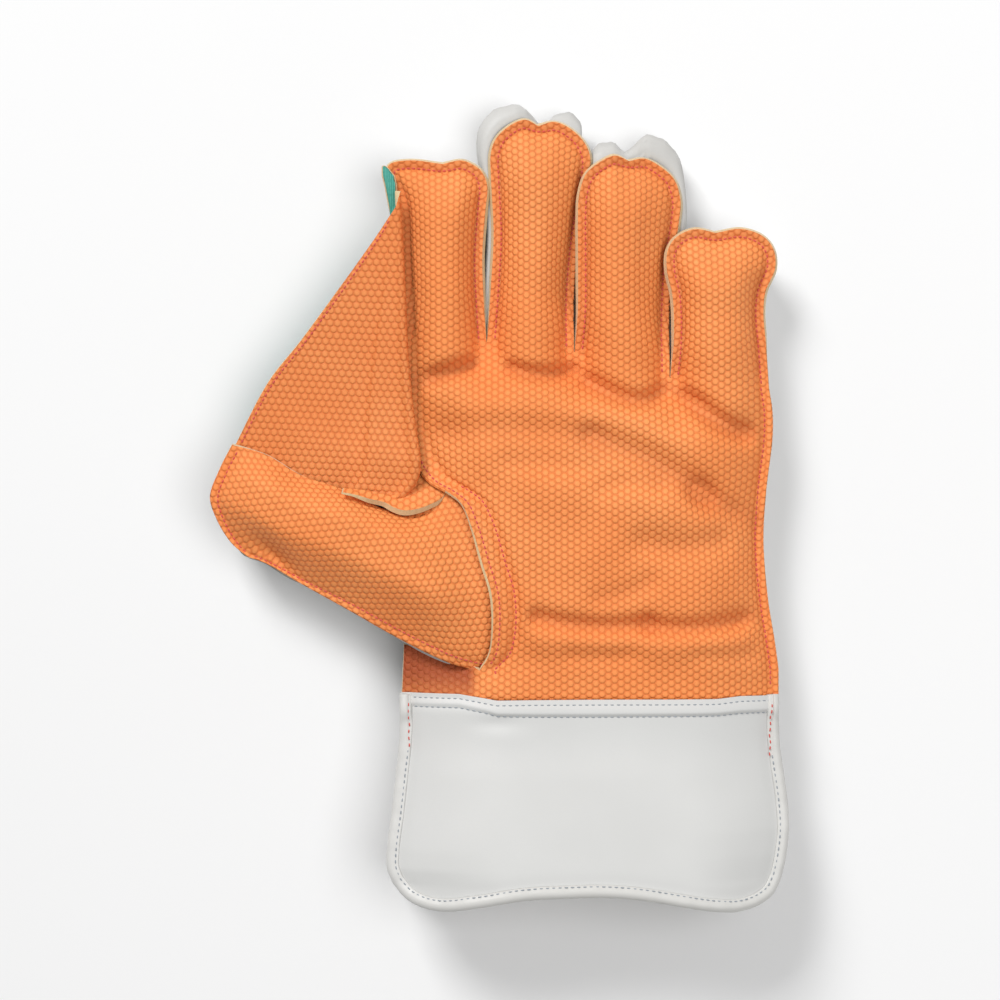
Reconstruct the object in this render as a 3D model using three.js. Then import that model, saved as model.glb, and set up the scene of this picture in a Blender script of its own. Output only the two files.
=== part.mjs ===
// A wicketkeeping glove for the left hand, lying on its back with the palm up.
// Millimetres. While it is built, X = 0 is the palm's middle, Y = 0 the wrist seam and Z = 0 the
// surface that the glove lies on. The fingers point along +Y and the thumb along -X.
// Every piece is a sheet: an outer skin, the same skin moved in by the sheet's thickness, and a rim.
import * as THREE from 'three';
import { mergeVertices } from 'three/addons/utils/BufferGeometryUtils.js';

const { lerp, clamp, smoothstep } = THREE.MathUtils;

// Materials' thicknesses and the sewn edge
const rubber = 2.2;
const leather = 1.6;
const webRubber = 2.0;
const backing = 1.2;
const gap = 0.3;
const wristGap = 1.0; // between the hand's pieces and the cuff's, under the band
const flange = 3.6; // flat margin between a sewn edge and its stitches

// The hand
const palmLength = 129; // wrist seam to the fork line
const palmHalf = 70;
const seamHeight = 18; // parting plane of the sewn edge
const palmCrown = 34.5; // highest part of the palm
const wristCrown = 32;
const palmShoulder = 34; // how far in from the side the palm reaches its crown
const wristShoulder = 40;
const thumbLift = 14.6; // how far the palm's edge rises over the thumb's base
const scallopReach = 26; // how far the fingers' rounding runs into the palm
const creaseDepth = 3.0;
const creaseWidth = 4.6;
const fingerLength = 84.4; // the middle finger's, from the forks to the notch in its tip
const fingerHalf = 19.6;
const fingerRise = 9.5;
const tipRound = 21; // length over which a finger front comes down to its tip
const lap = 3.0; // how far one finger's edge is lifted over the next

// The thumb and the web between it and the index finger
const thumbLength = 107;
const thumbWidth = 40;
const thumbAngle = 166; // direction from the thumb's base to its tip, from +X
const thumbRise = 8.5;
const thumbFloor = 6; // height of the thumb's back above the ground, at the hand and at the tip
const thumbTipFloor = 1.5;
const thumbTuck = 3.2; // how far the thumb's front runs in under the palm's edge
const webTuck = 3.3; // and the web under the thumb's edge
const foldRadius = 3.1;
const foldTurn = 122; // degrees that the fold turns through
const foldTip = 7.5; // how much further the fold runs up the index finger than the web's edge
const webSag = 3.0;
const lipReach = 2.4; // how far off the thumb's skin still carries the lip

// The cuff
const cuffLength = 80;
const cuffHalf = 75.7;
const cuffCrown = 45;
const cuffEdge = 2.4; // the padded panels' thickness at their edges
const cuffPad = 3.6; // and how much more they have in the middle
const cuffArch = 44; // how far in from the side the front panel reaches its crown
const cuffFlare = 6.5; // how much further apart the two panels stand at their free end
const cuffReach = 13; // how far in from the side the back panel reaches the ground, at the wrist
const cuffSpread = 24; // and how much more at the free end
const cuffApart = 1.9; // how far each panel's edge moves off the other's, for its binding
const cuffLift = 2.6; // height of the back panel above the ground, for its binding
const bindingWidth = 5.0;
const bindingWall = 1.0;
const bandOver = 1.6;
const bandUnder = 6.6;
const bandThick = 1.2;

// Where the fingers part, as shares of palmHalf and palmLength.
const forks = [
  { out: -1.036, along: 1.0 },
  { out: -0.554, along: 1.035 },
  { out: -0.078, along: 1.007 },
  { out: 0.443, along: 0.93 },
  { out: 0.984, along: 0.9 },
];

// The palm's edge over the thumb: lift is a share of thumbLift and margin one of flange.
const palmLeftEdge = [
  { out: -0.593, along: 0.07, lift: 0.55, margin: 1.6 },
  { out: -0.541, along: 0.117, lift: 0.73, margin: 2.2 },
  { out: -0.521, along: 0.194, lift: 0.89, margin: 2.4 },
  { out: -0.528, along: 0.293, lift: 1.0, margin: 2.4 },
  { out: -0.58, along: 0.389, lift: 1.0, margin: 2.4 },
  { out: -0.632, along: 0.484, lift: 0.93, margin: 2.4 },
  { out: -0.691, along: 0.558, lift: 0.8, margin: 2.3 },
  { out: -0.762, along: 0.59, lift: 0.64, margin: 2.2 },
  { out: -0.866, along: 0.622, lift: 0.42, margin: 2.2 },
  { out: -0.938, along: 0.671, lift: 0.2, margin: 2.2 },
  { out: -0.984, along: 0.742, lift: 0.05, margin: 2.2 },
  { out: -1.016, along: 0.848, lift: 0.0, margin: 2.0 },
  { out: -1.036, along: 1.0, lift: 0.0, margin: 1.95 },
];
const heelCorner = { out: -0.554, along: 0, lift: 0.59 };

const palmRightEdge = [
  { out: 1.036, along: 0.07 },
  { out: 1.013, along: 0.16 },
  { out: 0.98, along: 0.27 },
  { out: 0.954, along: 0.45 },
  { out: 0.97, along: 0.6 },
  { out: 1.003, along: 0.75 },
  { out: 1.003, along: 0.83 },
  { out: 0.984, along: 0.9 },
];

// The hand's side under the thumb and the web.
const handLeftEdge = [
  { out: -1.016, along: 0 },
  { out: -1.003, along: 0.16 },
  { out: -0.99, along: 0.4 },
  { out: -0.985, along: 0.6 },
  { out: -0.984, along: 0.742 },
  { out: -1.016, along: 0.848 },
  { out: -1.036, along: 1.0 },
];

// Each finger: its length (share of fingerLength), half width and the tip's shift to the right
// (shares of fingerHalf), how far each edge is lifted (shares of lap), the flat margin on each side
// and how much further in the leather's wall stands there (shares of flange, negative where the
// wall bulges out), and how far the leather bags out past each half of the tip and past its notch
// (shares of fingerHalf). Sections run from fork to tip, as shares of the length and half width.
const fingers = [
  {
    name: 'index', length: 0.831, half: 0.954, lean: 0, liftLeft: 0, liftRight: 0,
    marginLeft: 1.95, marginRight: 1, tuckLeft: 0, tuckRight: 0,
    bagLeft: 0, bagRight: 0.03, bagNotch: 0,
    sections: [
      { along: 0.25, left: 0.95, right: 0.85 },
      { along: 0.5, left: 1.0, right: 0.82 },
      { along: 0.75, left: 1.05, right: 0.885 },
      { along: 0.88, left: 1.1, right: 0.92 },
      { along: 0.96, left: 1.15, right: 0.8 },
      { along: 1.0, left: 1.07, right: 0.6 },
      { along: 1.02, left: 0.66, right: 0.38 },
      { along: 1.0, left: 0, right: 0 },
    ],
  },
  {
    name: 'middle', length: 1, half: 1, lean: 0.153, liftLeft: 0, liftRight: -1,
    marginLeft: 1, marginRight: 1, tuckLeft: -1.6, tuckRight: 0.35,
    bagLeft: 0.41, bagRight: 0.36, bagNotch: 0.06,
    sections: [
      { along: 0.25, left: 0.82, right: 0.82 },
      { along: 0.5, left: 0.8, right: 0.88 },
      { along: 0.75, left: 0.89, right: 1.02 },
      { along: 0.87, left: 0.91, right: 1.04 },
      { along: 0.94, left: 0.8, right: 0.9 },
      { along: 1.0, left: 0.52, right: 0.6 },
      { along: 1.024, left: 0.25, right: 0.3 },
      { along: 1.0, left: 0, right: 0 },
    ],
  },
  {
    name: 'ring', length: 0.919, half: 1.01, lean: 0.138, liftLeft: 1, liftRight: -1,
    marginLeft: 1, marginRight: 1, tuckLeft: 0.95, tuckRight: -0.75,
    bagLeft: 0.64, bagRight: 0.61, bagNotch: 0.26,
    sections: [
      { along: 0.25, left: 0.9, right: 0.89 },
      { along: 0.5, left: 0.93, right: 0.91 },
      { along: 0.7, left: 0.96, right: 1.01 },
      { along: 0.82, left: 0.95, right: 1.03 },
      { along: 0.92, left: 0.84, right: 0.9 },
      { along: 0.98, left: 0.6, right: 0.64 },
      { along: 1.02, left: 0.28, right: 0.3 },
      { along: 1.0, left: 0, right: 0 },
    ],
  },
  {
    name: 'little', length: 0.675, half: 1.092, lean: -0.082, liftLeft: 1, liftRight: 0,
    marginLeft: 1, marginRight: 1, tuckLeft: 0.6, tuckRight: 0,
    bagLeft: 0, bagRight: 0, bagNotch: 0,
    sections: [
      { along: 0.25, left: 0.82, right: 0.85 },
      { along: 0.45, left: 0.8, right: 0.82 },
      { along: 0.6, left: 0.82, right: 0.87 },
      { along: 0.75, left: 0.9, right: 1.05 },
      { along: 0.88, left: 0.88, right: 1.03 },
      { along: 0.97, left: 0.73, right: 0.85 },
      { along: 1.025, left: 0.4, right: 0.45 },
      { along: 1.0, left: 0, right: 0 },
    ],
  },
];

// Dents (positive) and ridges (negative) of the palm: each runs from a through b to c, given as
// shares of palmHalf and palmLength, with its depth and width as shares of the crease sizes.
const creases = [
  { a: [-0.98, 0.91], b: [-0.82, 0.93], c: [-0.65, 0.97], depth: 1.1, width: 1.0 },
  { a: [-0.53, 0.945], b: [-0.35, 0.93], c: [-0.16, 0.92], depth: 0.9, width: 1.0 },
  { a: [-0.01, 0.905], b: [0.15, 0.87], c: [0.34, 0.86], depth: 0.9, width: 1.0 },
  { a: [0.53, 0.87], b: [0.7, 0.81], c: [0.88, 0.74], depth: 1.2, width: 1.05 },
  { a: [-0.8, 0.77], b: [-0.3, 0.79], c: [0.02, 0.755], depth: 0.5, width: 1.4 },
  { a: [0.02, 0.755], b: [0.38, 0.69], c: [0.6, 0.59], depth: 0.7, width: 1.5 },
  { a: [0.6, 0.59], b: [0.76, 0.53], c: [0.93, 0.51], depth: 0.6, width: 1.2 },
  { a: [-0.42, 0.68], b: [-0.2, 0.665], c: [0.02, 0.67], depth: 0.35, width: 1.2 },
  { a: [0.08, 0.6], b: [0.2, 0.63], c: [0.36, 0.61], depth: 0.4, width: 1.0 },
  { a: [0.3, 0.44], b: [0.5, 0.42], c: [0.7, 0.45], depth: 0.4, width: 1.2 },
  { a: [0.05, 0.28], b: [0.2, 0.29], c: [0.32, 0.33], depth: 0.4, width: 1.0 },
  { a: [-0.28, 0.22], b: [0.05, 0.19], c: [0.32, 0.22], depth: 1.0, width: 0.9 },
  { a: [0.32, 0.22], b: [0.6, 0.19], c: [0.88, 0.22], depth: 1.0, width: 0.9 },
  { a: [-0.25, 0.16], b: [0.3, 0.15], c: [0.85, 0.16], depth: -0.5, width: 1.3 },
  { a: [-0.08, 0.11], b: [0.05, 0.105], c: [0.2, 0.11], depth: 0.35, width: 1.0 },
  { a: [0.6, 0.11], b: [0.74, 0.105], c: [0.88, 0.11], depth: 0.35, width: 1.0 },
];

// The thumb's edges, as shares of thumbLength and thumbWidth from the middle of its base and of
// seamHeight. low is the edge towards the cuff and high the one towards the web.
const thumbMiddle = { out: -0.6, along: 0.326 };
const thumbLow = [
  { along: 0.025, out: -0.81, up: 1.5 },
  { along: 0.12, out: -0.765, up: 1.52 },
  { along: 0.24, out: -0.69, up: 1.5 },
  { along: 0.413, out: -0.562, up: 1.44 },
  { along: 0.6, out: -0.43, up: 1.36 },
  { along: 0.746, out: -0.32, up: 1.28 },
  { along: 0.819, out: -0.3, up: 1.24 },
];
const thumbTip = [
  { along: 0.889, out: -0.205, up: 1.24 },
  { along: 0.96, out: -0.015, up: 1.27 },
  { along: 0.999, out: 0.172, up: 1.32 },
  { along: 0.989, out: 0.44, up: 1.37 },
  { along: 0.965, out: 0.705, up: 1.4 },
];
const thumbHigh = [
  { along: 0.84, out: 0.695, up: 1.42 },
  { along: 0.697, out: 0.587, up: 1.46 },
  { along: 0.539, out: 0.55, up: 1.48 },
  { along: 0.444, out: 0.487, up: 1.42 },
  { along: 0.353, out: 0.465, up: 1.4 },
  { along: 0.269, out: 0.51, up: 1.42 },
  { along: 0.196, out: 0.68, up: 1.46 },
];

// The web's free edge from the thumb's tip to the index finger, and the line along which its
// inner side folds under, as shares of palmHalf, palmLength and thumbLift above the seam.
const webFree = [
  { out: -1.743, along: 0.914, lift: 0.13 },
  { out: -1.559, along: 1.042, lift: 0.12 },
  { out: -1.329, along: 1.213, lift: 0.16 },
  { out: -1.159, along: 1.341, lift: 0.24 },
  { out: -1.08, along: 1.403, lift: 0.32 },
];
const webFold = [
  { out: -1.027, along: 0.578, lift: 0.02 },
  { out: -0.952, along: 0.6, lift: 0.06 },
  { out: -0.917, along: 0.638, lift: 0.15 },
  { out: -0.909, along: 0.685, lift: 0.22 },
  { out: -0.929, along: 0.76, lift: 0.08 },
  { out: -0.951, along: 0.848, lift: 0.02 },
  { out: -0.977, along: 1.0, lift: 0.02 },
  { out: -0.994, along: 1.256, lift: 0.02 },
  { out: -1.011, along: 1.43, lift: 0.02 },
];
// The part of the web's lower edge that hangs free of the thumb, towards the hand.
const webHem = [
  { out: -1.3, along: 0.606, lift: 0.28 },
  { out: -1.191, along: 0.6, lift: 0.34 },
  { out: -1.093, along: 0.586, lift: 0.4 },
];
// The ear of the leather behind the web, past the web's top corner.
const webEar = [
  { left: -1.093, right: -1.055, along: 1.47, lift: 0.14 },
  { left: -1.118, right: -1.05, along: 1.51, lift: 0.14 },
  { left: -1.122, right: -1.08, along: 1.548, lift: 0.14 },
];

// The lip between the web's hem and the thumb.
const lipUpper = [
  { out: -1.323, along: 0.6, lift: 0.76 },
  { out: -1.2, along: 0.592, lift: 0.68 },
  { out: -1.12, along: 0.579, lift: 0.6 },
  { out: -1.027, along: 0.569, lift: 0.58 },
  { out: -0.946, along: 0.588, lift: 0.52 },
];
const lipLower = [
  { out: -1.326, along: 0.59, lift: 0.78 },
  { out: -1.257, along: 0.581, lift: 0.74 },
  { out: -1.185, along: 0.567, lift: 0.68 },
  { out: -1.1, along: 0.556, lift: 0.66 },
  { out: -1.05, along: 0.541, lift: 0.64 },
  { out: -0.994, along: 0.533, lift: 0.62 },
  { out: -0.929, along: 0.538, lift: 0.58 },
  { out: -0.863, along: 0.553, lift: 0.52 },
];

// A finger back's section from its sewn edge down to its floor: inset as a share of flange, drop
// as a share of the height, bag as a share of the bagging at the tip.
const backRings = [
  { inset: 0.14, drop: 0, bag: 0 },
  { inset: 1.0, drop: 0, bag: 0 },
  { inset: 0.8, drop: 0.3, bag: 1 },
  { inset: 0.95, drop: 0.6, bag: 0.9 },
  { inset: 1.75, drop: 0.88, bag: 0.45 },
  { inset: 3.1, drop: 1, bag: 0 },
];

// The cuff's outline as shares of cuffHalf and cuffLength, from the wrist down.
const cuffLeftEdge = [
  { out: -0.946, down: 0.0 }, { out: -0.946, down: 0.2 }, { out: -0.964, down: 0.38 },
  { out: -0.984, down: 0.56 }, { out: -1.006, down: 0.73 }, { out: -1.006, down: 0.82 },
  { out: -0.976, down: 0.89 },
];
const cuffRightEdge = [
  { out: 0.952, down: 0.0 }, { out: 0.952, down: 0.2 }, { out: 0.97, down: 0.35 },
  { out: 0.99, down: 0.5 }, { out: 0.996, down: 0.63 }, { out: 0.982, down: 0.75 },
  { out: 0.955, down: 0.86 },
];
const cuffBottomEdge = [
  { out: -0.976, down: 0.89 }, { out: -0.91, down: 0.955 }, { out: -0.825, down: 0.99 },
  { out: -0.72, down: 1.0 }, { out: -0.55, down: 0.975 }, { out: -0.34, down: 0.94 },
  { out: -0.13, down: 0.928 }, { out: 0.1, down: 0.925 }, { out: 0.29, down: 0.942 },
  { out: 0.47, down: 0.972 }, { out: 0.62, down: 0.996 }, { out: 0.73, down: 1.002 },
  { out: 0.84, down: 0.978 }, { out: 0.915, down: 0.93 }, { out: 0.955, down: 0.86 },
];

// How finely the skins are divided
const heelRows = 3;
const palmRows = 20;
const fingerSide = 8;
const fingerTipHalf = 3;
const backSide = 5;
const backTipHalf = 3;
const thumbRows = 8;
const thumbColumns = 12;
const webRows = 11;
const webColumns = 6;
const foldSteps = 4;
const lipColumns = 12;
const lipRows = 2;
const cuffRows = 7;
const cuffColumns = 16;
const bandRows = 2;
const bandColumns = 18;
const bindingSide = 6;
const bindingBottom = 14;

const point = (x, y, z = 0) => new THREE.Vector3(x, y, z);
const seamTop = seamHeight + gap / 2 + rubber; // outer face of a rubber edge
const seamUnder = seamHeight - gap / 2 - leather; // outer face of a leather edge
const range = (n) => Array.from({ length: n + 1 }, (_, i) => i);
const dome = (q) => Math.sin((clamp(q, 0, 1) * Math.PI) / 2) ** 0.75;
const softMin = (a, b, k) => -k * Math.log(Math.exp(-a / k) + Math.exp(-b / k));

// Points at the given shares of the length of the smooth curve through the given points.
function placed(points, shares) {
  const curve = new THREE.CatmullRomCurve3(points, false, 'centripetal');
  return shares.map((share) => curve.getPointAt(share));
}

// n + 1 of them, evenly spaced.
const spaced = (points, n) => placed(points, range(n).map((i) => i / n));

// A grid between four edges that meet at their ends. left and right run up, bottom and top right.
function fill(left, right, bottom, top) {
  const rows = left.length - 1;
  const columns = bottom.length - 1;
  return range(rows).map((j) => range(columns).map((i) => {
    const u = i / columns;
    const v = j / rows;
    return point(0, 0)
      .addScaledVector(bottom[i], 1 - v).addScaledVector(top[i], v)
      .addScaledVector(left[j], 1 - u).addScaledVector(right[j], u)
      .addScaledVector(bottom[0], -(1 - u) * (1 - v)).addScaledVector(bottom[columns], -u * (1 - v))
      .addScaledVector(top[0], -(1 - u) * v).addScaledVector(top[columns], -u * v);
  }));
}

const mirrored = (patches) => patches.map((rows) => rows.map((row) => [...row].reverse()));

// A closed sheet from patches of its outer skin, whose rows run anticlockwise seen from outside.
// thickness is a number, or a function of a point of the skin.
function sheet(patches, thickness) {
  const corners = [];
  const push = (...points) => points.forEach((p) => corners.push(p.x, p.y, p.z));
  for (const rows of patches) {
    for (let j = 0; j + 1 < rows.length; j += 1) {
      for (let i = 0; i + 1 < rows[j].length; i += 1) {
        push(rows[j][i], rows[j][i + 1], rows[j + 1][i + 1]);
        push(rows[j][i], rows[j + 1][i + 1], rows[j + 1][i]);
      }
    }
  }
  const soup = new THREE.BufferGeometry();
  soup.setAttribute('position', new THREE.Float32BufferAttribute(corners, 3));
  const skin = mergeVertices(soup, 1e-2);
  skin.computeVertexNormals();
  const at = skin.getAttribute('position');
  const normals = skin.getAttribute('normal');
  const faces = [];
  for (let f = 0; f < skin.index.count; f += 3) {
    const face = [0, 1, 2].map((k) => skin.index.getX(f + k));
    if (new Set(face).size === 3) faces.push(face);
  }
  const positions = [];
  const inner = [];
  for (let i = 0; i < at.count; i += 1) {
    const p = point(at.getX(i), at.getY(i), at.getZ(i));
    const thick = typeof thickness === 'number' ? thickness : thickness(p);
    const n = point(normals.getX(i), normals.getY(i), normals.getZ(i));
    positions.push(p.x, p.y, p.z);
    p.addScaledVector(n, -thick);
    inner.push(p.x, p.y, p.z);
  }
  const index = [];
  const shared = new Set(faces.flatMap(([a, b, c]) => [`${a} ${b}`, `${b} ${c}`, `${c} ${a}`]));
  for (const [a, b, c] of faces) {
    index.push(a, b, c, c + at.count, b + at.count, a + at.count);
    for (const [p, q] of [[a, b], [b, c], [c, a]]) {
      if (!shared.has(`${q} ${p}`)) {
        index.push(q, p, p + at.count, q, p + at.count, q + at.count);
      }
    }
  }
  const solid = new THREE.BufferGeometry();
  solid.setAttribute('position', new THREE.Float32BufferAttribute([...positions, ...inner], 3));
  solid.setIndex(index);
  solid.computeVertexNormals();
  return solid;
}

const onPalm = ({ out, along, lift = 0 }) => {
  return point(out * palmHalf, along * palmLength, seamTop + lift * thumbLift);
};

// The line through the forks, which the fingers start from.
function forkLine(x) {
  const at = forks.map(onPalm);
  const k = clamp(at.filter((p) => p.x < x).length - 1, 0, at.length - 2);
  const share = clamp((x - at[k].x) / (at[k + 1].x - at[k].x), 0, 1);
  return lerp(at[k].y, at[k + 1].y, share);
}

// A finger's sewn outline from its left fork round the tip to its right fork, with the direction
// that points into the finger at each point.
function fingerOutline(finger, number, side, tipHalf) {
  const a = onPalm(forks[number]);
  const b = onPalm(forks[number + 1]);
  const base = a.clone().add(b).multiplyScalar(0.5);
  const tip = base.clone().add(point(finger.lean * fingerHalf, finger.length * fingerLength));
  const axis = tip.clone().sub(base);
  const across = point(-axis.y, axis.x).normalize();
  const place = (along, out) => {
    return base.clone().addScaledVector(axis, along)
      .addScaledVector(across, out * finger.half * fingerHalf);
  };
  const left = [a, ...finger.sections.map((s) => place(s.along, s.left))];
  const right = [b, ...finger.sections.map((s) => place(s.along, -s.right))];
  const up = spaced(left, side + tipHalf);
  const down = spaced(right, side + tipHalf).reverse();
  const loop = [...up, ...down.slice(1)];
  const inward = loop.map((p, i) => {
    const run = loop[Math.min(i + 1, loop.length - 1)].clone().sub(loop[Math.max(i - 1, 0)]);
    return point(run.y, -run.x).normalize();
  });
  inward[0] = b.clone().sub(a).setZ(0).normalize();
  inward[loop.length - 1] = inward[0].clone().negate();
  const share = loop.map((p) => clamp(p.clone().sub(base).dot(axis) / axis.lengthSq(), 0, 1.05));
  const rightShare = loop.map((p) => smoothstep(-across.dot(p.clone().sub(base)), -8, 8));
  return { loop, inward, share, rightShare, axis, base, side, tipHalf };
}

// How far the sewn edge is lifted at each point of a finger's outline.
function edgeLift(finger, outline, i) {
  const lift = lerp(finger.liftLeft, finger.liftRight, outline.rightShare[i]);
  return lap * lift * smoothstep(outline.share[i], 0.03, 0.26);
}

// The rubber front of one finger: a flat margin round a domed middle.
function fingerFront(finger, number) {
  const outline = fingerOutline(finger, number, fingerSide, fingerTipHalf);
  const { loop, inward, rightShare, share } = outline;
  const last = loop.length - 1;
  const outer = loop.map((p, i) => p.clone().setZ(seamTop + edgeLift(finger, outline, i)));
  const inner = outer.map((p, i) => {
    const wide = lerp(finger.marginLeft, finger.marginRight, rightShare[i]);
    const margin = flange * lerp(wide, 1, smoothstep(share[i], 0.78, 0.95));
    return p.clone().addScaledVector(inward[i], margin);
  });
  const columns = 2 * fingerTipHalf;
  const bottom = range(columns).map((i) => inner[0].clone().lerp(inner[last], i / columns));
  const left = inner.slice(0, fingerSide + 1);
  const right = inner.slice(last - fingerSide).reverse();
  const top = inner.slice(fingerSide, last - fingerSide + 1);
  const middle = fill(left, right, bottom, top);
  const tipY = (p) => p.clone().sub(outline.base).dot(outline.axis) / outline.axis.length();
  middle.forEach((row, j) => row.forEach((p, i) => {
    const acrossShare = 1 - Math.abs((2 * i) / columns - 1);
    const toTip = tipY(middle[fingerSide][i]) - tipY(p);
    p.z += fingerRise * dome(acrossShare) * (j === fingerSide ? 0 : dome(toTip / tipRound));
  }));
  return { middle, margin: [inner, outer], base: [outer[0], ...middle[0], outer[last]] };
}

// Depth of all creases at a point of the palm.
function creased(x, y) {
  let depth = 0;
  for (const crease of creases) {
    const [a, b, c] = [crease.a, crease.b, crease.c].map(([out, along]) => {
      return new THREE.Vector2(out * palmHalf, along * palmLength);
    });
    const curve = new THREE.QuadraticBezierCurve(a, b, c).getPoints(6);
    const near = Math.min(...curve.slice(1).map((end, k) => {
      const run = end.clone().sub(curve[k]);
      const from = new THREE.Vector2(x, y).sub(curve[k]);
      const t = clamp(from.dot(run) / run.lengthSq(), 0, 1);
      return from.addScaledVector(run, -t).length();
    }));
    depth += crease.depth * creaseDepth * Math.exp(-((near / (crease.width * creaseWidth)) ** 2));
  }
  return depth;
}

// Height of the skin across the wrist, shared by the palm and the cuff.
function wristHeight(x) {
  const left = handLeftEdge[0].out * palmHalf;
  const right = palmRightEdge[0].out * palmHalf;
  const rise = (d) => lerp(seamTop, wristCrown, dome((d - flange) / wristShoulder));
  return softMin(rise(x - left), rise(right - x), 1);
}

const palmCrownAt = (y) => {
  const share = clamp(y / palmLength, 0, 1);
  return lerp(wristCrown, palmCrown, smoothstep(share, 0, 0.3)) - 3 * smoothstep(share, 0.6, 1);
};

// The palm's rubber facing with the four finger fronts in one piece.
function palmPatches() {
  const fronts = fingers.map(fingerFront);
  const top = fronts.flatMap((front, k) => (k ? front.base.slice(1) : front.base));
  const columns = top.length - 1;
  const heelEdge = spaced([onPalm(heelCorner), onPalm(palmLeftEdge[0])], heelRows);
  const left = [...heelEdge, ...spaced(palmLeftEdge.map(onPalm), palmRows).slice(1)];
  const wristRight = onPalm({ ...palmRightEdge[0], along: 0 });
  const rightLow = spaced([wristRight, onPalm(palmRightEdge[0])], heelRows);
  const right = [...rightLow, ...spaced(palmRightEdge.map(onPalm), palmRows).slice(1)];
  const bottom = top.map((p, i) => {
    const share = (p.x - top[0].x) / (top[columns].x - top[0].x);
    return left[0].clone().lerp(wristRight, lerp(share, i / columns, 0.2));
  });
  const rows = fill(left, right, bottom, top);
  const marginAt = (y) => {
    const k = clamp(palmLeftEdge.findIndex((e) => e.along * palmLength > y), 1, palmLeftEdge.length - 1);
    const [low, high] = [palmLeftEdge[k - 1], palmLeftEdge[k]];
    const share = clamp((y / palmLength - low.along) / (high.along - low.along), 0, 1);
    return flange * lerp(low.margin, high.margin, share);
  };
  rows.forEach((row, j) => {
    if (j === rows.length - 1) return;
    row.forEach((p, i) => {
      const fromLeft = p.distanceTo(left[j].clone().setZ(p.z));
      const fromRight = p.distanceTo(right[j].clone().setZ(p.z));
      const crown = palmCrownAt(p.y);
      const margin = marginAt(p.y);
      const lifted = (left[j].z - seamTop) / thumbLift;
      const dip = 1.6 * lifted * Math.exp(-(((fromLeft - margin) / 2.6) ** 2));
      const rise = (edge, d) => lerp(edge, crown, dome(d / palmShoulder));
      let z = softMin(rise(left[j].z, fromLeft - margin), rise(right[j].z, fromRight - flange), 0.8);
      z = Math.min(z, crown) - dip;
      if (i === 0) z = left[j].z;
      if (i === columns) z = right[j].z;
      const inside = smoothstep(Math.min(fromLeft - margin * 0.6, fromRight - flange), 0, 10);
      z -= creased(p.x, p.y) * inside;
      const toForks = forkLine(p.x) - p.y;
      z = lerp(top[i].z, z, smoothstep(toForks, 0, scallopReach));
      p.z = lerp(wristHeight(p.x), z, smoothstep(p.y, 0, 14));
    });
  });
  return { fronts, rows, left, heelEdge };
}

const palm = palmPatches();

// The corner of the palm's facing below the thumb, down to the wrist.
function heelPatch() {
  const columns = 5;
  const right = palm.rows.slice(0, heelRows + 1).map((row) => row[0]);
  const sideLow = onPalm(handLeftEdge[0]);
  const sideHigh = onPalm({ out: -1.005, along: 0.142 });
  const left = range(heelRows).map((j) => sideLow.clone().lerp(sideHigh, j / heelRows));
  const bottom = range(columns).map((i) => {
    const p = sideLow.clone().lerp(right[0], i / columns);
    return i === columns ? right[0].clone() : p.setZ(wristHeight(p.x));
  });
  const high = [sideHigh, onPalm({ out: -0.86, along: 0.1, lift: 0.12 })];
  high.push(onPalm({ out: -0.73, along: 0.068, lift: 0.32 }), right[heelRows]);
  return fill(left, right, bottom, spaced(high, columns));
}

// A leather trough: rings that run down from a sewn outline, and the floor that they end at.
// places has a function of ring and point for each corner of the rings.
function trough(outline, place) {
  const { side } = outline;
  const last = outline.loop.length - 1;
  const rings = backRings.map((ring) => outline.loop.map((p, i) => place(ring, p, i)));
  const inner = rings[rings.length - 1];
  const columns = last - 2 * side;
  const bottom = range(columns).map((i) => inner[0].clone().lerp(inner[last], i / columns));
  const floor = fill(
    inner.slice(0, side + 1), inner.slice(last - side).reverse(),
    bottom, inner.slice(side, last - side + 1),
  );
  return { rings, patches: [...mirrored([floor]), ...mirrored([[...rings].reverse()])] };
}

// The leather back of one finger, under the front's margin.
function fingerBack(finger, number) {
  const outline = fingerOutline(finger, number, backSide, backTipHalf);
  const { loop, share, rightShare } = outline;
  const last = loop.length - 1;
  const unit = outline.axis.clone().normalize();
  return trough(outline, ({ inset, drop, bag }, p, i) => {
    const ramp = clamp(share[i] / 0.22, 0, 1);
    const toTip = smoothstep(share[i], 0.86, 0.96);
    const setIn = lerp(finger.tuckLeft, finger.tuckRight, rightShare[i]);
    const tuck = drop > 0 ? setIn * (setIn > 0 ? 1 - toTip : 1) : 0;
    const narrow = lerp(0.3, 1, ramp) * lerp(1, 0.8, smoothstep(share[i], 0.8, 1));
    const spine = outline.base.clone().addScaledVector(outline.axis, Math.min(share[i], 0.78));
    const into = spine.sub(p).setZ(0).normalize();
    const side = Math.max((inset + tuck) * flange * narrow, drop > 0 ? -flange : gap + 0.2);
    const lobe = lerp(finger.bagLeft, finger.bagRight, rightShare[i]);
    const bagged = Math.abs(i - last / 2) < 0.5 ? finger.bagNotch : lobe;
    const baggy = bag * bagged * fingerHalf * smoothstep(share[i], 0.82, 0.95);
    const start = i === 0 || i === last ? gap + 0.5 : 0;
    const top = seamUnder - 0.25 - 0.4 * smoothstep(share[i], 0.8, 0.95) + edgeLift(finger, outline, i);
    return p.clone().addScaledVector(into, side).addScaledVector(unit, baggy + start)
      .setZ(lerp(top, drop === 1 ? 0 : 0.4, drop));
  }).patches;
}

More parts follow.
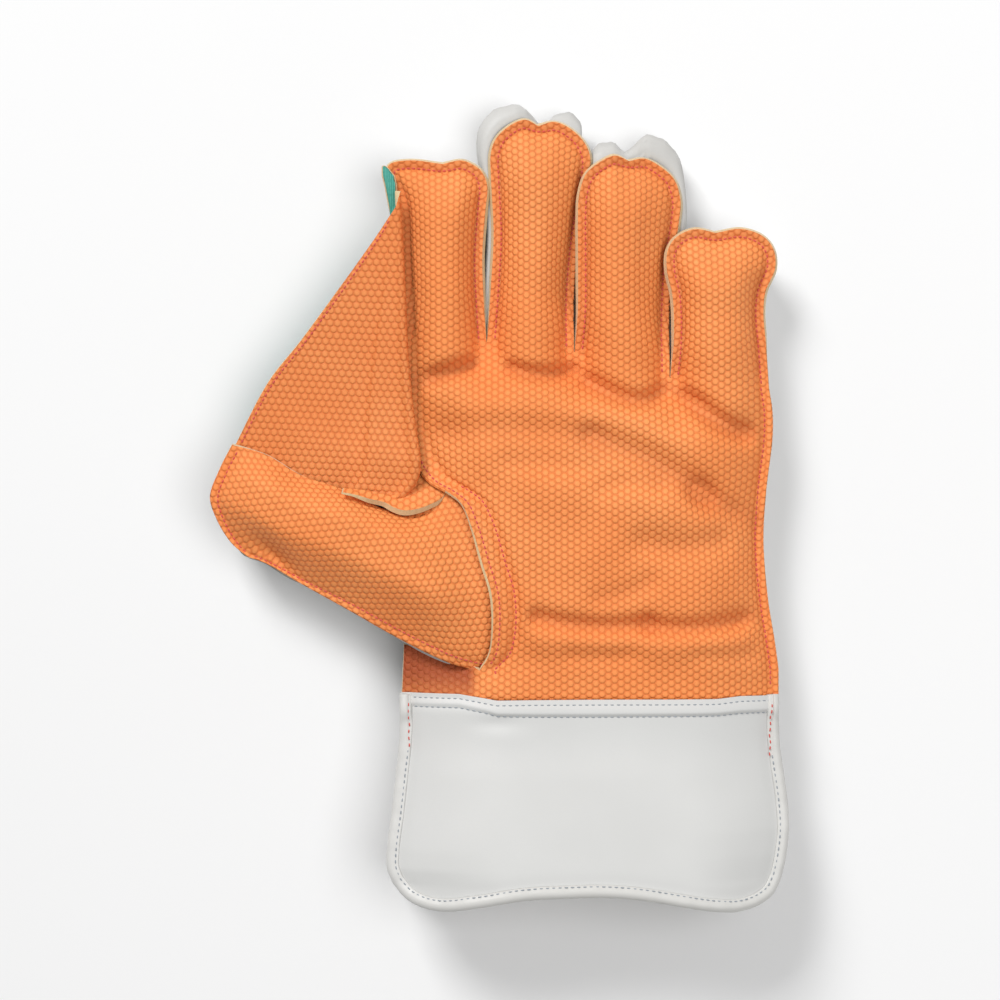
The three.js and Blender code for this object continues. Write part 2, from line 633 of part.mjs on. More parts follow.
// The back of the hand: walls under the palm's sides and a flat floor, open at the wrist and at
// the fingers, with its left wall cut down where the thumb comes in.
function handBack() {
  const shares = [0, 0.06, 0.1, 0.125, 0.28, 0.42, 0.53, 0.575, 0.61, 0.7, 0.85, 1];
  const rightTable = [{ out: palmRightEdge[0].out, along: 0 }, ...palmRightEdge];
  const edgeAt = (table, y) => {
    const k = clamp(table.findIndex((e) => e.along * palmLength > y), 1, table.length - 1);
    const share = (y / palmLength - table[k - 1].along) / (table[k].along - table[k - 1].along);
    return lerp(table[k - 1].out, table[k].out, clamp(share, 0, 1)) * palmHalf;
  };
  const thumbGap = (y) => {
    const share = y / palmLength;
    return smoothstep(share, 0.1, 0.12) * (1 - smoothstep(share, 0.58, 0.605));
  };
  const rows = shares.map((share) => {
    const leftY = share * forks[0].along * palmLength;
    const rightY = share * forks[forks.length - 1].along * palmLength;
    const left = edgeAt(handLeftEdge, leftY);
    const right = edgeAt(rightTable, rightY);
    const wall = 1 - 0.78 * thumbGap(leftY);
    const place = (x, z) => point(x, share * forkLine(x), z);
    const heights = backRings.map(({ drop }) => lerp(seamUnder, drop === 1 ? 0 : 0.4, drop));
    const leftWall = backRings.map((ring, k) => {
      return place(left + Math.max(ring.inset * flange, gap), heights[k] * wall);
    });
    const rightWall = backRings.map((ring, k) => {
      return place(right - Math.max(ring.inset * flange, gap), heights[k]);
    });
    const stops = forks.slice(1, -1).map(({ out }) => out * palmHalf);
    const floor = stops.map((x) => place(x, 0));
    return [...leftWall, ...floor, ...rightWall.reverse()];
  });
  return mirrored([rows]);
}

const under = rubber * 1.15 + gap + 1.6; // from a skin to the skin of a sheet tucked under it

// The palm's edge between two rows of its table, moved in and down as a piece tucked under it.
function tucked(from, to) {
  const edge = palmLeftEdge.map(onPalm);
  return edge.slice(from, to + 1).map((p, k) => {
    const run = edge[from + k + 1].clone().sub(edge[Math.max(from + k - 1, 0)]).setZ(0);
    const inward = point(run.y, -run.x).normalize();
    const rise = (edge[from + k + 1].z - edge[Math.max(from + k - 1, 0)].z) / run.length();
    return p.clone().addScaledVector(inward, thumbTuck).setZ(p.z - under * Math.hypot(1, rise));
  });
}

const turn = (thumbAngle * Math.PI) / 180;
const thumbAxis = point(Math.cos(turn), Math.sin(turn));
const thumbAcross = point(Math.sin(turn), -Math.cos(turn));

function onThumb({ along, out, up }) {
  return onPalm(thumbMiddle).addScaledVector(thumbAxis, along * thumbLength)
    .addScaledVector(thumbAcross, out * thumbWidth).setZ(up * seamHeight);
}

const thumbEdge = {
  base: tucked(0, 7),
  low: thumbLow.map(onThumb),
  tip: [thumbLow[thumbLow.length - 1], ...thumbTip].map(onThumb),
  high: [thumbTip[thumbTip.length - 1], ...thumbHigh].map(onThumb),
};

// The thumb's rubber front, crowned along its length.
function thumbFront() {
  const base = spaced(thumbEdge.base, thumbRows);
  const tip = spaced([...thumbEdge.tip].reverse(), thumbRows).reverse();
  const low = spaced([...thumbEdge.low].reverse().concat(base[0]), thumbColumns);
  const high = spaced([...thumbEdge.high, base[thumbRows]], thumbColumns);
  const rows = fill(tip, base, low, high);
  rows.forEach((row, j) => row.forEach((p, i) => {
    const fromLow = p.distanceTo(rows[0][i]);
    const fromHigh = p.distanceTo(rows[thumbRows][i]);
    const fromTip = p.distanceTo(row[0]);
    const fromBase = p.distanceTo(row[thumbColumns]);
    const across = dome((fromLow - flange) / (thumbWidth * 0.6)) * dome(fromHigh / (thumbWidth * 0.3));
    const along = dome((fromTip - flange) / (thumbWidth * 0.55)) * smoothstep(fromBase - 8, 0, 24);
    const onEdge = j === 0 || j === thumbRows || i === 0 || i === thumbColumns;
    const dent = 2.2 * Math.exp(-((fromTip - 24) ** 2 / 90 + (fromLow - 11) ** 2 / 40));
    p.z += onEdge ? 0 : thumbRise * across * along - dent;
  }));
  return [rows];
}

// The thumb's leather back, with the strip that closes the step down to the heel of the palm.
function thumbBack(heel) {
  const side = 7;
  const tipParts = 5;
  const low = spaced(thumbEdge.low.slice(2), side);
  const tip = spaced(thumbEdge.tip, tipParts);
  const high = spaced(thumbEdge.high.slice(0, -2), side);
  const loop = [...low, ...tip.slice(1), ...high.slice(1)];
  const last = loop.length - 1;
  const inward = loop.map((p, i) => {
    const run = loop[Math.min(i + 1, last)].clone().sub(loop[Math.max(i - 1, 0)]);
    return point(run.y, -run.x).normalize();
  });
  const sheets = webRubber * 1.15 + backing * 1.1 + gap * 6;
  const { rings, patches } = trough({ loop, side }, ({ inset, drop }, p, i) => {
    const toHigh = smoothstep(i, side, last - side);
    const top = p.z - rubber * 1.1 - gap - leather * 1.1 - toHigh * sheets;
    const reach = clamp(p.clone().sub(loop[0]).dot(thumbAxis) / (thumbLength * 0.7), 0, 1);
    const floor = lerp(thumbFloor, thumbTipFloor, reach);
    const beyond = 1.6 * smoothstep(i, last - 4, last - 1);
    return p.clone().addScaledVector(inward[i], (inset - beyond) * flange).setZ(lerp(top, floor, drop));
  });
  const overHeel = spaced(thumbEdge.low.slice(0, 3), 4).reverse();
  const strip = overHeel.map((p, k) => {
    if (k === 0) return [0, 1, 2].map((ring) => rings[ring][0]);
    const run = overHeel[Math.min(k + 1, 4)].clone().sub(overHeel[k - 1]).setZ(0);
    const inwardHere = point(-run.y, run.x).normalize();
    const at = (inset, z) => p.clone().addScaledVector(inwardHere, inset * flange).setZ(z);
    const top = p.z - rubber * 1.1 - gap - leather;
    const heelTop = heel(p.x) - rubber * 1.3 - gap - leather;
    return [at(0.14, top), at(0.6, lerp(top, heelTop, 0.3)), at(-0.2, Math.min(heelTop, top - 1))];
  });
  return [...patches, strip];
}

const onWeb = (row) => {
  const p = onPalm(row);
  return p.setZ(p.z + gap + 2 * foldRadius);
};

// The web's upper layer, up to where its inner side starts to fold under.
function webLayer() {
  const fold = webFold.map(onWeb);
  const outward = fold.map((p, k) => {
    const run = fold[Math.min(k + 1, fold.length - 1)].clone().sub(fold[Math.max(k - 1, 0)]);
    return point(run.y, -run.x).normalize();
  });
  const shoulder = fold.map((p, k) => p.clone().addScaledVector(outward[k], -foldRadius));
  const right = spaced(shoulder, webRows);
  const free = webFree.map(onPalm);
  const tuckedHigh = thumbEdge.high.slice(0, 4).map((p) => {
    return p.clone().addScaledVector(thumbAcross, -webTuck).setZ(p.z - under);
  });
  const start = tuckedHigh[0];
  const left = spaced([start, ...free], webRows);
  const hem = webHem.map(onPalm);
  const bottom = spaced([...tuckedHigh, ...hem, right[0]], webColumns);
  const top = spaced([left[webRows], right[webRows]], webColumns);
  const rows = fill(left, right, bottom, top);
  rows.forEach((row, j) => row.forEach((p, i) => {
    const wide = clamp(left[j].distanceTo(right[j]) / palmHalf, 0, 1);
    const across = Math.sin((Math.PI * i) / webColumns);
    p.z -= webSag * wide * across * Math.sin((Math.PI * j) / webRows);
  }));
  return rows;
}

function webRubberPatches(layer) {
  const edge = layer.map((row) => row[webColumns]);
  const fold = edge.map((p, j) => {
    const run = edge[Math.min(j + 1, webRows)].clone().sub(edge[Math.max(j - 1, 0)]).setZ(0).normalize();
    const outward = point(run.y, -run.x);
    const shift = foldTip * smoothstep(j / webRows, 0.86, 1);
    return range(foldSteps).map((k) => {
      const angle = Math.PI / 2 - (((foldTurn * Math.PI) / 180) * k) / foldSteps;
      return p.clone()
        .addScaledVector(outward, foldRadius * Math.cos(angle))
        .addScaledVector(run, shift * Math.cos(angle) * 0.8)
        .setZ(p.z + foldRadius * (Math.sin(angle) - 1));
    });
  });
  return [layer, fold];
}

// The leather behind the web, with its ear at the index finger's tip.
function webBackPatches(layer) {
  const lower = layer.map((row, j) => row.map((p, i) => {
    const clear = gap * (1 + 2.6 * smoothstep(j / webRows, 0.55, 0.92));
    const short = i === webColumns ? Math.min(0.8, p.distanceTo(row[i - 1]) * 0.6) : 0;
    return p.clone().add(point(-short, 0)).setZ(p.z - webRubber * 1.15 - clear);
  }));
  const last = lower[webRows];
  const ear = webEar.map(({ left, right, along, lift }) => last.map((p, i) => {
    return onPalm({ out: lerp(left, right, i / webColumns), along, lift });
  }));
  return [lower, [last, ...ear]];
}

// The highest point of a skin within reach of a point seen from above.
function highest(rows, p, reach) {
  let height = -Infinity;
  const parts = range(4).map((k) => k / 4);
  for (let j = 0; j + 1 < rows.length; j += 1) {
    for (let i = 0; i + 1 < rows[j].length; i += 1) {
      for (const u of parts) {
        for (const v of parts) {
          const low = rows[j][i].clone().lerp(rows[j][i + 1], u);
          const q = low.lerp(rows[j + 1][i].clone().lerp(rows[j + 1][i + 1], u), v);
          if (Math.hypot(q.x - p.x, q.y - p.y) < reach) height = Math.max(height, q.z);
        }
      }
    }
  }
  return height;
}

// The lip that stands along the web's hem above the thumb. thumb is the thumb's skin.
function lipPatch(thumb) {
  const [a, b] = tucked(7, 8);
  const end = [a.clone().lerp(b, 0.35), b].map((p) => p.setZ(p.z - 0.8));
  const bottom = spaced([...lipLower.map(onPalm), end[0]], lipColumns);
  const top = spaced([...lipUpper.map(onPalm), end[1]], lipColumns);
  const left = range(lipRows).map((j) => bottom[0].clone().lerp(top[0], j / lipRows));
  const right = range(lipRows).map((j) => bottom[lipColumns].clone().lerp(top[lipColumns], j / lipRows));
  const rows = fill(left, right, bottom, top);
  rows.forEach((row) => row.forEach((p, i) => {
    const clear = highest(thumb, p, lipReach) + rubber * 1.2 + gap;
    if (clear > p.z) p.z = lerp(clear, p.z, smoothstep(i / lipColumns, 0.7, 0.95));
  }));
  return [rows];
}

const onCuff = ({ out, down }) => point(out * cuffHalf, -down * cuffLength);

function cuffGrid(inset) {
  const shares = range(cuffColumns).map((i) => 0.5 - 0.5 * Math.cos((Math.PI * i) / cuffColumns));
  const moveIn = (p, dx, dy) => p.clone().add(point(dx * inset, dy * inset));
  const left = spaced(cuffLeftEdge.map(onCuff).reverse(), cuffRows).map((p) => moveIn(p, 1, 0));
  const right = spaced(cuffRightEdge.map(onCuff).reverse(), cuffRows).map((p) => moveIn(p, -1, 0));
  const hem = cuffBottomEdge.map(onCuff).map((p, k) => {
    const run = onCuff(cuffBottomEdge[Math.min(k + 1, cuffBottomEdge.length - 1)])
      .sub(onCuff(cuffBottomEdge[Math.max(k - 1, 0)])).normalize();
    return moveIn(p, -run.y, run.x);
  });
  left[0] = hem[0];
  right[0] = hem[hem.length - 1];
  const bottom = placed(hem, shares);
  const top = shares.map((u) => point(lerp(left[cuffRows].x, right[cuffRows].x, u), -wristGap));
  left[cuffRows] = top[0];
  right[cuffRows] = top[cuffColumns];
  bottom[0] = left[0];
  bottom[cuffColumns] = right[0];
  return fill(left, right, bottom, top);
}

// How far a point is from the cuff's nearer side.
function fromSide(x, y) {
  const down = clamp(-y / cuffLength, 0, 1);
  const edge = (table) => {
    const k = clamp(table.filter((e) => e.down <= down).length, 1, table.length - 1);
    const share = (down - table[k - 1].down) / (table[k].down - table[k - 1].down);
    return lerp(table[k - 1].out, table[k].out, clamp(share, 0, 1)) * cuffHalf;
  };
  return Math.max(softMin(x - edge(cuffLeftEdge), edge(cuffRightEdge) - x, 1), 0);
}

function cuffTop(x, y) {
  const down = clamp(-y / cuffLength, 0, 1.1);
  const apart = cuffApart * smoothstep(down, 0, 0.09);
  const side = seamTop + gap + cuffFlare * smoothstep(down, 0.22, 1);
  const crown = lerp(wristCrown, cuffCrown - cuffApart, smoothstep(down, 0, 1));
  const arch = lerp(side, crown, Math.sin((clamp(fromSide(x, y) / cuffArch, 0, 1) * Math.PI) / 2));
  return apart + lerp(wristHeight(x) + gap, arch, smoothstep(down, 0.03, 0.4));
}

function cuffBottom(x, y) {
  const down = clamp(-y / cuffLength, 0, 1.1);
  const apart = smoothstep(down, 0, 0.09);
  const spread = cuffApart * apart + cuffFlare * 0.7 * smoothstep(down, 0.22, 1);
  const side = seamTop - 2 * cuffEdge - gap * 1.5 - spread;
  const reach = cuffReach + cuffSpread * down;
  return lerp(cuffLift * apart, side, (1 - clamp(fromSide(x, y) / reach, 0, 1)) ** 2);
}

const hemAt = (x) => {
  const k = clamp(cuffBottomEdge.filter((e) => e.out * cuffHalf < x).length, 1, cuffBottomEdge.length - 1);
  const [a, b] = [onCuff(cuffBottomEdge[k - 1]), onCuff(cuffBottomEdge[k])];
  return lerp(a.y, b.y, clamp((x - a.x) / (b.x - a.x), 0, 1));
};

const cuffThick = (p) => {
  const inside = Math.min(fromSide(p.x, p.y), p.y - hemAt(p.x));
  return cuffEdge + cuffPad * smoothstep(inside, 7, 28) * smoothstep(-p.y, 4, 22);
};

// The point at h above a height function's surface, square to it.
function offSurface(height, x, y, h) {
  const slope = (dx, dy) => (height(x + dx, y + dy) - height(x - dx, y - dy)) / 2;
  const normal = point(-slope(1, 0), -slope(0, 1), 1).normalize();
  return point(x, y, height(x, y)).addScaledVector(normal, h);
}

// The strip over the wrist seam.
function cuffBand() {
  const half = cuffHalf * cuffRightEdge[0].out;
  const rows = range(bandRows).map((j) => lerp(-bandUnder, bandOver, j / bandRows));
  const skin = (x, y) => Math.max(wristHeight(x), cuffTop(x, Math.min(y, 0)));
  return rows.map((y) => range(bandColumns).map((i) => {
    const x = -half * 0.992 * Math.cos((Math.PI * i) / bandColumns);
    return offSurface(skin, x, y, gap + 0.5 + bandThick);
  }));
}

// The binding round a panel's free edges: a strip folded over the edge.
function binding(height, up) {
  const first = (table) => [{ ...table[0], down: (bandUnder + 1) / cuffLength }, ...table.slice(1)];
  const left = spaced(first(cuffLeftEdge).map(onCuff), bindingSide);
  const hem = spaced(cuffBottomEdge.map(onCuff), bindingBottom);
  const right = spaced(first(cuffRightEdge).map(onCuff).reverse(), bindingSide);
  const path = [...left, ...hem.slice(1), ...right.slice(1)];
  const clear = 0.5;
  return path.map((p, k) => {
    const run = path[Math.min(k + 1, path.length - 1)].clone().sub(path[Math.max(k - 1, 0)]).normalize();
    const at = (inset, h) => {
      return offSurface(height, p.x - run.y * inset, p.y + run.x * inset, h * up);
    };
    const over = bindingWall + clear;
    const below = -cuffEdge - bindingWall - clear;
    return [
      at(bindingWidth, over), at(1.6, over), at(0.2, over * 0.3),
      at(0.2, -cuffEdge - over * 0.3), at(1.6, below), at(bindingWidth, below),
    ];
  });
}

function cuffPanel(height) {
  return cuffGrid(bindingWall + gap).map((row) => row.map((p) => p.setZ(height(p.x, p.y))));
}

const group = new THREE.Group();

function add(name, patches, thickness, material) {
  const mesh = new THREE.Mesh(sheet(patches, thickness), material);
  mesh.name = name;
  group.add(mesh);
  return mesh;
}

const orange = new THREE.MeshStandardMaterial({ color: '#e8823a', roughness: 0.62, metalness: 0 });
const white = new THREE.MeshStandardMaterial({ color: '#e4e3e0', roughness: 0.5, metalness: 0 });
const trim = new THREE.MeshStandardMaterial({ color: '#d8d3cb', roughness: 0.6, metalness: 0 });
const teal = new THREE.MeshStandardMaterial({ color: '#7fb9ab', roughness: 0.6, metalness: 0 });

add('palm_rubber', [
  palm.rows, heelPatch(), ...palm.fronts.flatMap((f) => [f.middle, f.margin]),
], rubber, orange);
fingers.forEach((finger, k) => add(`${finger.name}_back`, fingerBack(finger, k), leather, white));
add('hand_back', handBack(), leather, white);
const thumbSkin = thumbFront();
add('thumb_rubber', thumbSkin, rubber, orange);
const layer = webLayer();
add('web_rubber', webRubberPatches(layer), webRubber, orange);
add('web_back', webBackPatches(layer), backing, teal);
add('thumb_lip', lipPatch(thumbSkin[0]), rubber, orange);
const heelRow = heelPatch()[heelRows];
const heelHeight = (x) => {
  const k = clamp(heelRow.filter((p) => p.x < x).length - 1, 0, heelRow.length - 2);
  const share = clamp((x - heelRow[k].x) / (heelRow[k + 1].x - heelRow[k].x), 0, 1);
  return lerp(heelRow[k].z, heelRow[k + 1].z, share);
};
add('thumb_back', thumbBack(heelHeight), leather, white);
add('cuff_front', [cuffPanel(cuffTop)], cuffThick, white);
add('cuff_back', mirrored([cuffPanel(cuffBottom)]), cuffThick, white);
add('cuff_band', [cuffBand()], bandThick, white);
add('binding_front', mirrored([binding(cuffTop, 1)]), bindingWall, trim);
add('binding_back', [binding(cuffBottom, -1)], bindingWall, trim);

// The part's own origin is the middle of the underside of its box.
const box = new THREE.Box3().setFromObject(group);
const middle = box.getCenter(point(0, 0));
for (const mesh of group.children) mesh.geometry.translate(-middle.x, -middle.y, -box.min.z);

export default group;
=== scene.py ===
import math

import bpy
import numpy as np
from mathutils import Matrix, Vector


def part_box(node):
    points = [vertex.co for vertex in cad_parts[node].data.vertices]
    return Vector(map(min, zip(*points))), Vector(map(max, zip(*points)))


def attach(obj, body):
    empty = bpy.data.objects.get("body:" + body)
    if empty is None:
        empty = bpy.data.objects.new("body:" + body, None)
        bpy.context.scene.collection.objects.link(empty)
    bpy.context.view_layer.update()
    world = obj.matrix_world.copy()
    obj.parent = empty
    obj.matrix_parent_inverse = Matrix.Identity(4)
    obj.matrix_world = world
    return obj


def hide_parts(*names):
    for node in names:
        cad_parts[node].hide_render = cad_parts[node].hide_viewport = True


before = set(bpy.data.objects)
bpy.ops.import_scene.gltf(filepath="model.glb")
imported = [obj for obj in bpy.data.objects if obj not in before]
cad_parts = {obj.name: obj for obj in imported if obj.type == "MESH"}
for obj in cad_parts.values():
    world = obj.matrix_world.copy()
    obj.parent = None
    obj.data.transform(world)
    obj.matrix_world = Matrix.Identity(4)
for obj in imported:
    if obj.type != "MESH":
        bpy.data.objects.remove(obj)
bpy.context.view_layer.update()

MM = 0.001

# Sizes in millimetres, as in the part's source
RUBBER, LEATHER, WEB_RUBBER, BACKING, GAP, FLANGE = 2.2, 1.6, 2.0, 1.2, 0.3, 3.6
PALM_LENGTH, PALM_HALF, SEAM = 129.0, 70.0, 18.0
PALM_CROWN, WRIST_CROWN, PALM_SHOULDER, WRIST_SHOULDER = 34.5, 32.0, 34.0, 40.0
THUMB_LIFT, SCALLOP = 14.6, 26.0
CREASE_DEPTH, CREASE_WIDTH = 3.7, 4.4
FINGER_LENGTH, FINGER_HALF, FINGER_RISE, TIP_ROUND, LAP = 84.4, 19.6, 9.5, 21.0, 3.0
THUMB_LENGTH, THUMB_WIDTH, THUMB_ANGLE, THUMB_RISE = 107.0, 40.0, 166.0, 9.6
THUMB_FLOOR, THUMB_TIP_FLOOR, THUMB_TUCK, WEB_TUCK = 6.0, 1.5, 3.2, 3.3
FOLD_RADIUS, FOLD_RISE, FOLD_TURN, FOLD_TIP, WEB_SAG = 2.1, 6.0, 122.0, 7.5, 3.0
CUFF_LENGTH, CUFF_HALF, CUFF_CROWN, CUFF_EDGE, CUFF_PAD = 80.0, 75.7, 45.0, 2.4, 3.6
CUFF_ARCH, CUFF_FLARE, CUFF_REACH, CUFF_SPREAD = 44.0, 6.5, 13.0, 24.0
CUFF_APART, CUFF_LIFT = 1.9, 2.6
SEAM_TOP = SEAM + GAP / 2 + RUBBER
SEAM_UNDER = SEAM - GAP / 2 - LEATHER
UNDER = RUBBER * 1.15 + GAP + 1.6

# The tape round the cuff: its width, wall, height over the pad, first point and row of stitches
BIND_WIDTH, BIND_WALL, BIND_OVER, BIND_START, BIND_STITCH = 4.5, 1.0, 1.35, 0.7, 3.7
BAND_THICK = 0.9
# The palm's tail and the pad's top edge both lie under the band
TAIL, PAD_START = 2.9, 3.3
# Stitches: in from the edge on facing, palm edge and web, and how deep they pull the rubber in
STITCH_IN, PALM_STITCH_IN, WEB_STITCH_IN, GROOVE = 3.3, 2.6, 1.8, 0.55
THREAD = dict(pitch=1.95, length=1.45, radius=0.34)
# How far round a place of the lip the thumb's skin counts
LIP_REACH = 2.4
# The honeycomb's pitch, in metres
PITCH = 0.00274

# Across, the band's top, its two rows of stitches, its lower edge
BAND = [
    (-72.0, 0.1, -1.75, -4.97, -6.5), (-49.0, 0.1, -1.75, -4.97, -6.5), (-39.0, -1.6, -3.6, -6.8, -8.3),
    (-35.0, -2.4, -4.3, -8.0, -9.5), (-21.0, -2.2, -4.1, -8.2, -9.7), (2.0, -2.0, -4.0, -8.2, -9.7),
    (48.0, -1.9, -3.9, -7.9, -9.4), (57.0, -0.9, -3.0, -7.2, -8.7), (72.0, -1.1, -3.1, -7.2, -8.7),
]

# Shares of the palm's half width and length, then of the thumb's lift, then of the flange
FORKS = [(-1.036, 1.0), (-0.554, 1.035), (-0.078, 1.007), (0.443, 0.93), (0.984, 0.9)]
PALM_LEFT = [
    (-0.593, 0.07, 0.55, 1.6), (-0.541, 0.117, 0.73, 2.2), (-0.521, 0.194, 0.89, 2.4),
    (-0.528, 0.293, 1.0, 2.4), (-0.58, 0.389, 1.0, 2.4), (-0.632, 0.484, 0.93, 2.4),
    (-0.691, 0.558, 0.8, 2.3), (-0.762, 0.59, 0.64, 2.2), (-0.866, 0.622, 0.42, 2.2),
    (-0.938, 0.671, 0.2, 2.2), (-0.984, 0.742, 0.05, 2.2), (-1.016, 0.848, 0.0, 2.0),
    (-1.036, 1.0, 0.0, 1.95),
]
HEEL_CORNER = (-0.554, 0, 0.59)
PALM_RIGHT = [
    (1.036, 0.07), (1.013, 0.16), (0.98, 0.27), (0.954, 0.45), (0.97, 0.6), (1.003, 0.75), (1.003, 0.83),
    (0.984, 0.9),
]
HAND_LEFT = [
    (-1.016, 0), (-1.003, 0.16), (-0.99, 0.4), (-0.985, 0.6), (-0.984, 0.742), (-1.016, 0.848), (-1.036, 1.0),
]
# Rows are along, left, right; pairs are left and right; spread is in millimetres
FINGERS = [
    dict(
        name="index", length=0.831, half=0.954, lean=0.0, lift=(0, 0), margin=(1.95, 1), tuck=(0, 0),
        bag=(0, 0.03), notch=0, spread=(0, 0),
        rows=[(0.25, 0.95, 0.85), (0.5, 1.0, 0.82), (0.75, 1.05, 0.885), (0.88, 1.1, 0.92), (0.96, 1.15, 0.8),
              (1.0, 1.07, 0.6), (1.02, 0.66, 0.38), (1.0, 0, 0)],
    ),
    dict(
        name="middle", length=1.0, half=1.0, lean=0.153, lift=(0, -1), margin=(1, 1), tuck=(-2.0, 0.35),
        bag=(0.36, 0.55), notch=0.1, spread=(2.6, 0.3),
        rows=[(0.25, 0.82, 0.82), (0.5, 0.8, 0.88), (0.75, 0.89, 1.02), (0.87, 0.91, 1.04), (0.94, 0.8, 0.9),
              (1.0, 0.52, 0.6), (1.024, 0.25, 0.3), (1.0, 0, 0)],
    ),
    dict(
        name="ring", length=0.919, half=1.01, lean=0.138, lift=(1, -1), margin=(1, 1), tuck=(0.95, -2.0),
        bag=(0.57, 0.5), notch=0.3, spread=(0.6, -1.6),
        rows=[(0.25, 0.9, 0.89), (0.5, 0.93, 0.91), (0.7, 0.96, 1.01), (0.82, 0.95, 1.03), (0.92, 0.84, 0.9),
              (0.98, 0.6, 0.64), (1.02, 0.28, 0.3), (1.0, 0, 0)],
    ),
    dict(
        name="little", length=0.675, half=1.092, lean=-0.082, lift=(1, 0), margin=(1, 1), tuck=(0.6, 0),
        bag=(0, 0), notch=0, spread=(0, 0),
        rows=[(0.25, 0.82, 0.85), (0.45, 0.8, 0.82), (0.6, 0.82, 0.87), (0.75, 0.9, 1.05), (0.88, 0.88, 1.03),
              (0.97, 0.73, 0.85), (1.025, 0.4, 0.45), (1.0, 0, 0)],
    ),
]
# Three points of each crease, its depth and width; a depth below zero is a swell
CREASES = [
    ((-0.98, 0.92), (-0.82, 0.925), (-0.65, 0.968), 1.35, 0.85),
    ((-0.42, 0.955), (-0.25, 0.916), (-0.09, 0.957), 1.2, 0.8),
    ((-0.002, 0.917), (0.3, 0.81), (0.4, 0.9), 1.2, 0.85),
    ((0.53, 0.88), (0.7, 0.77), (0.87, 0.765), 1.45, 0.95),
    ((-0.8, 0.77), (-0.3, 0.79), (0.02, 0.755), 0.6, 1.35),
    ((0.02, 0.755), (0.38, 0.69), (0.6, 0.59), 0.95, 1.35),
    ((0.6, 0.59), (0.76, 0.53), (0.93, 0.51), 0.8, 1.15),
    ((-0.42, 0.68), (-0.2, 0.665), (0.02, 0.67), 0.4, 1.2),
    ((0.08, 0.6), (0.2, 0.63), (0.36, 0.61), 0.5, 1.0),
    ((0.3, 0.44), (0.5, 0.42), (0.7, 0.45), 0.45, 1.2),
    ((0.05, 0.28), (0.2, 0.29), (0.32, 0.33), 0.4, 1.0),
    ((-0.28, 0.225), (0.0, 0.185), (0.3, 0.205), 1.0, 0.85),
    ((0.33, 0.2), (0.6, 0.18), (0.88, 0.225), 1.0, 0.85),
    ((-0.25, 0.155), (0.3, 0.145), (0.85, 0.155), -0.45, 1.3),
    ((-0.08, 0.11), (0.05, 0.105), (0.2, 0.11), 0.35, 1.0),
    ((0.6, 0.11), (0.74, 0.105), (0.88, 0.11), 0.35, 1.0),
    ((-0.7, 0.85), (-0.1, 0.87), (0.7, 0.68), -0.4, 2.4),
    ((-0.3, 0.6), (0.0, 0.62), (0.35, 0.54), -0.35, 2.2),
    ((-0.1, 0.38), (0.15, 0.45), (0.2, 0.5), -0.3, 1.8),
]
# Shares of the thumb's length, width and of the seam's height
THUMB_MIDDLE = (-0.6, 0.326)
THUMB_LOW = [
    (0.025, -0.81, 1.5), (0.12, -0.765, 1.52), (0.24, -0.69, 1.5), (0.413, -0.562, 1.44),
    (0.6, -0.43, 1.36), (0.746, -0.32, 1.28), (0.819, -0.3, 1.24),
]
THUMB_TIP = [
    (0.889, -0.205, 1.24), (0.96, -0.015, 1.27), (0.999, 0.172, 1.32), (0.989, 0.44, 1.37), (0.965, 0.705, 1.4),
]
THUMB_HIGH = [
    (0.84, 0.695, 1.42), (0.697, 0.587, 1.46), (0.539, 0.55, 1.48), (0.444, 0.487, 1.42),
    (0.353, 0.465, 1.4), (0.269, 0.53, 1.42), (0.205, 0.73, 1.44),
]
# Shares of the palm's half width and length, and of the thumb's lift
WEB_FREE = [
    (-1.743, 0.914, 0.13), (-1.559, 1.042, 0.12), (-1.329, 1.213, 0.16), (-1.159, 1.341, 0.24),
    (-1.08, 1.403, 0.32),
]
WEB_FOLD = [
    (-1.027, 0.56, 0.06), (-0.952, 0.6, 0.12), (-0.917, 0.638, 0.2), (-0.909, 0.685, 0.26), (-0.929, 0.76, 0.12),
    (-0.951, 0.848, 0.05), (-0.977, 1.0, 0.05), (-0.998, 1.256, 0.05), (-1.016, 1.43, 0.04),
]
WEB_HEM = [(-1.3, 0.59, 0.28), (-1.191, 0.578, 0.3), (-1.093, 0.562, 0.3)]
# The scrap beyond the web's top: left, right, along, lift
WEB_EAR = [
    (-1.084, -1.035, 1.434, 0.14), (-1.095, -1.046, 1.466, 0.16), (-1.106, -1.048, 1.498, 0.18),
    (-1.118, -1.058, 1.523, 0.18), (-1.12, -1.09, 1.545, 0.16), (-1.119, -1.108, 1.553, 0.15),
]
LIP_UPPER = [
    (-1.323, 0.604, 0.74), (-1.2, 0.598, 0.62), (-1.12, 0.588, 0.52), (-1.04, 0.585, 0.42),
    (-0.985, 0.61, 0.24), (-0.955, 0.65, 0.1),
]
LIP_LOWER = [
    (-1.326, 0.59, 0.74), (-1.257, 0.583, 0.7), (-1.185, 0.571, 0.65), (-1.1, 0.56, 0.63), (-1.05, 0.545, 0.62),
    (-0.994, 0.537, 0.6), (-0.929, 0.541, 0.58), (-0.863, 0.553, 0.54), (-0.8, 0.571, 0.5),
]
# A leather back's section: inset, drop, bag
BACK_RINGS = [(0.14, 0, 0), (1.0, 0, 0), (0.8, 0.3, 1), (0.95, 0.6, 0.9), (1.75, 0.88, 0.45), (3.1, 1, 0)]
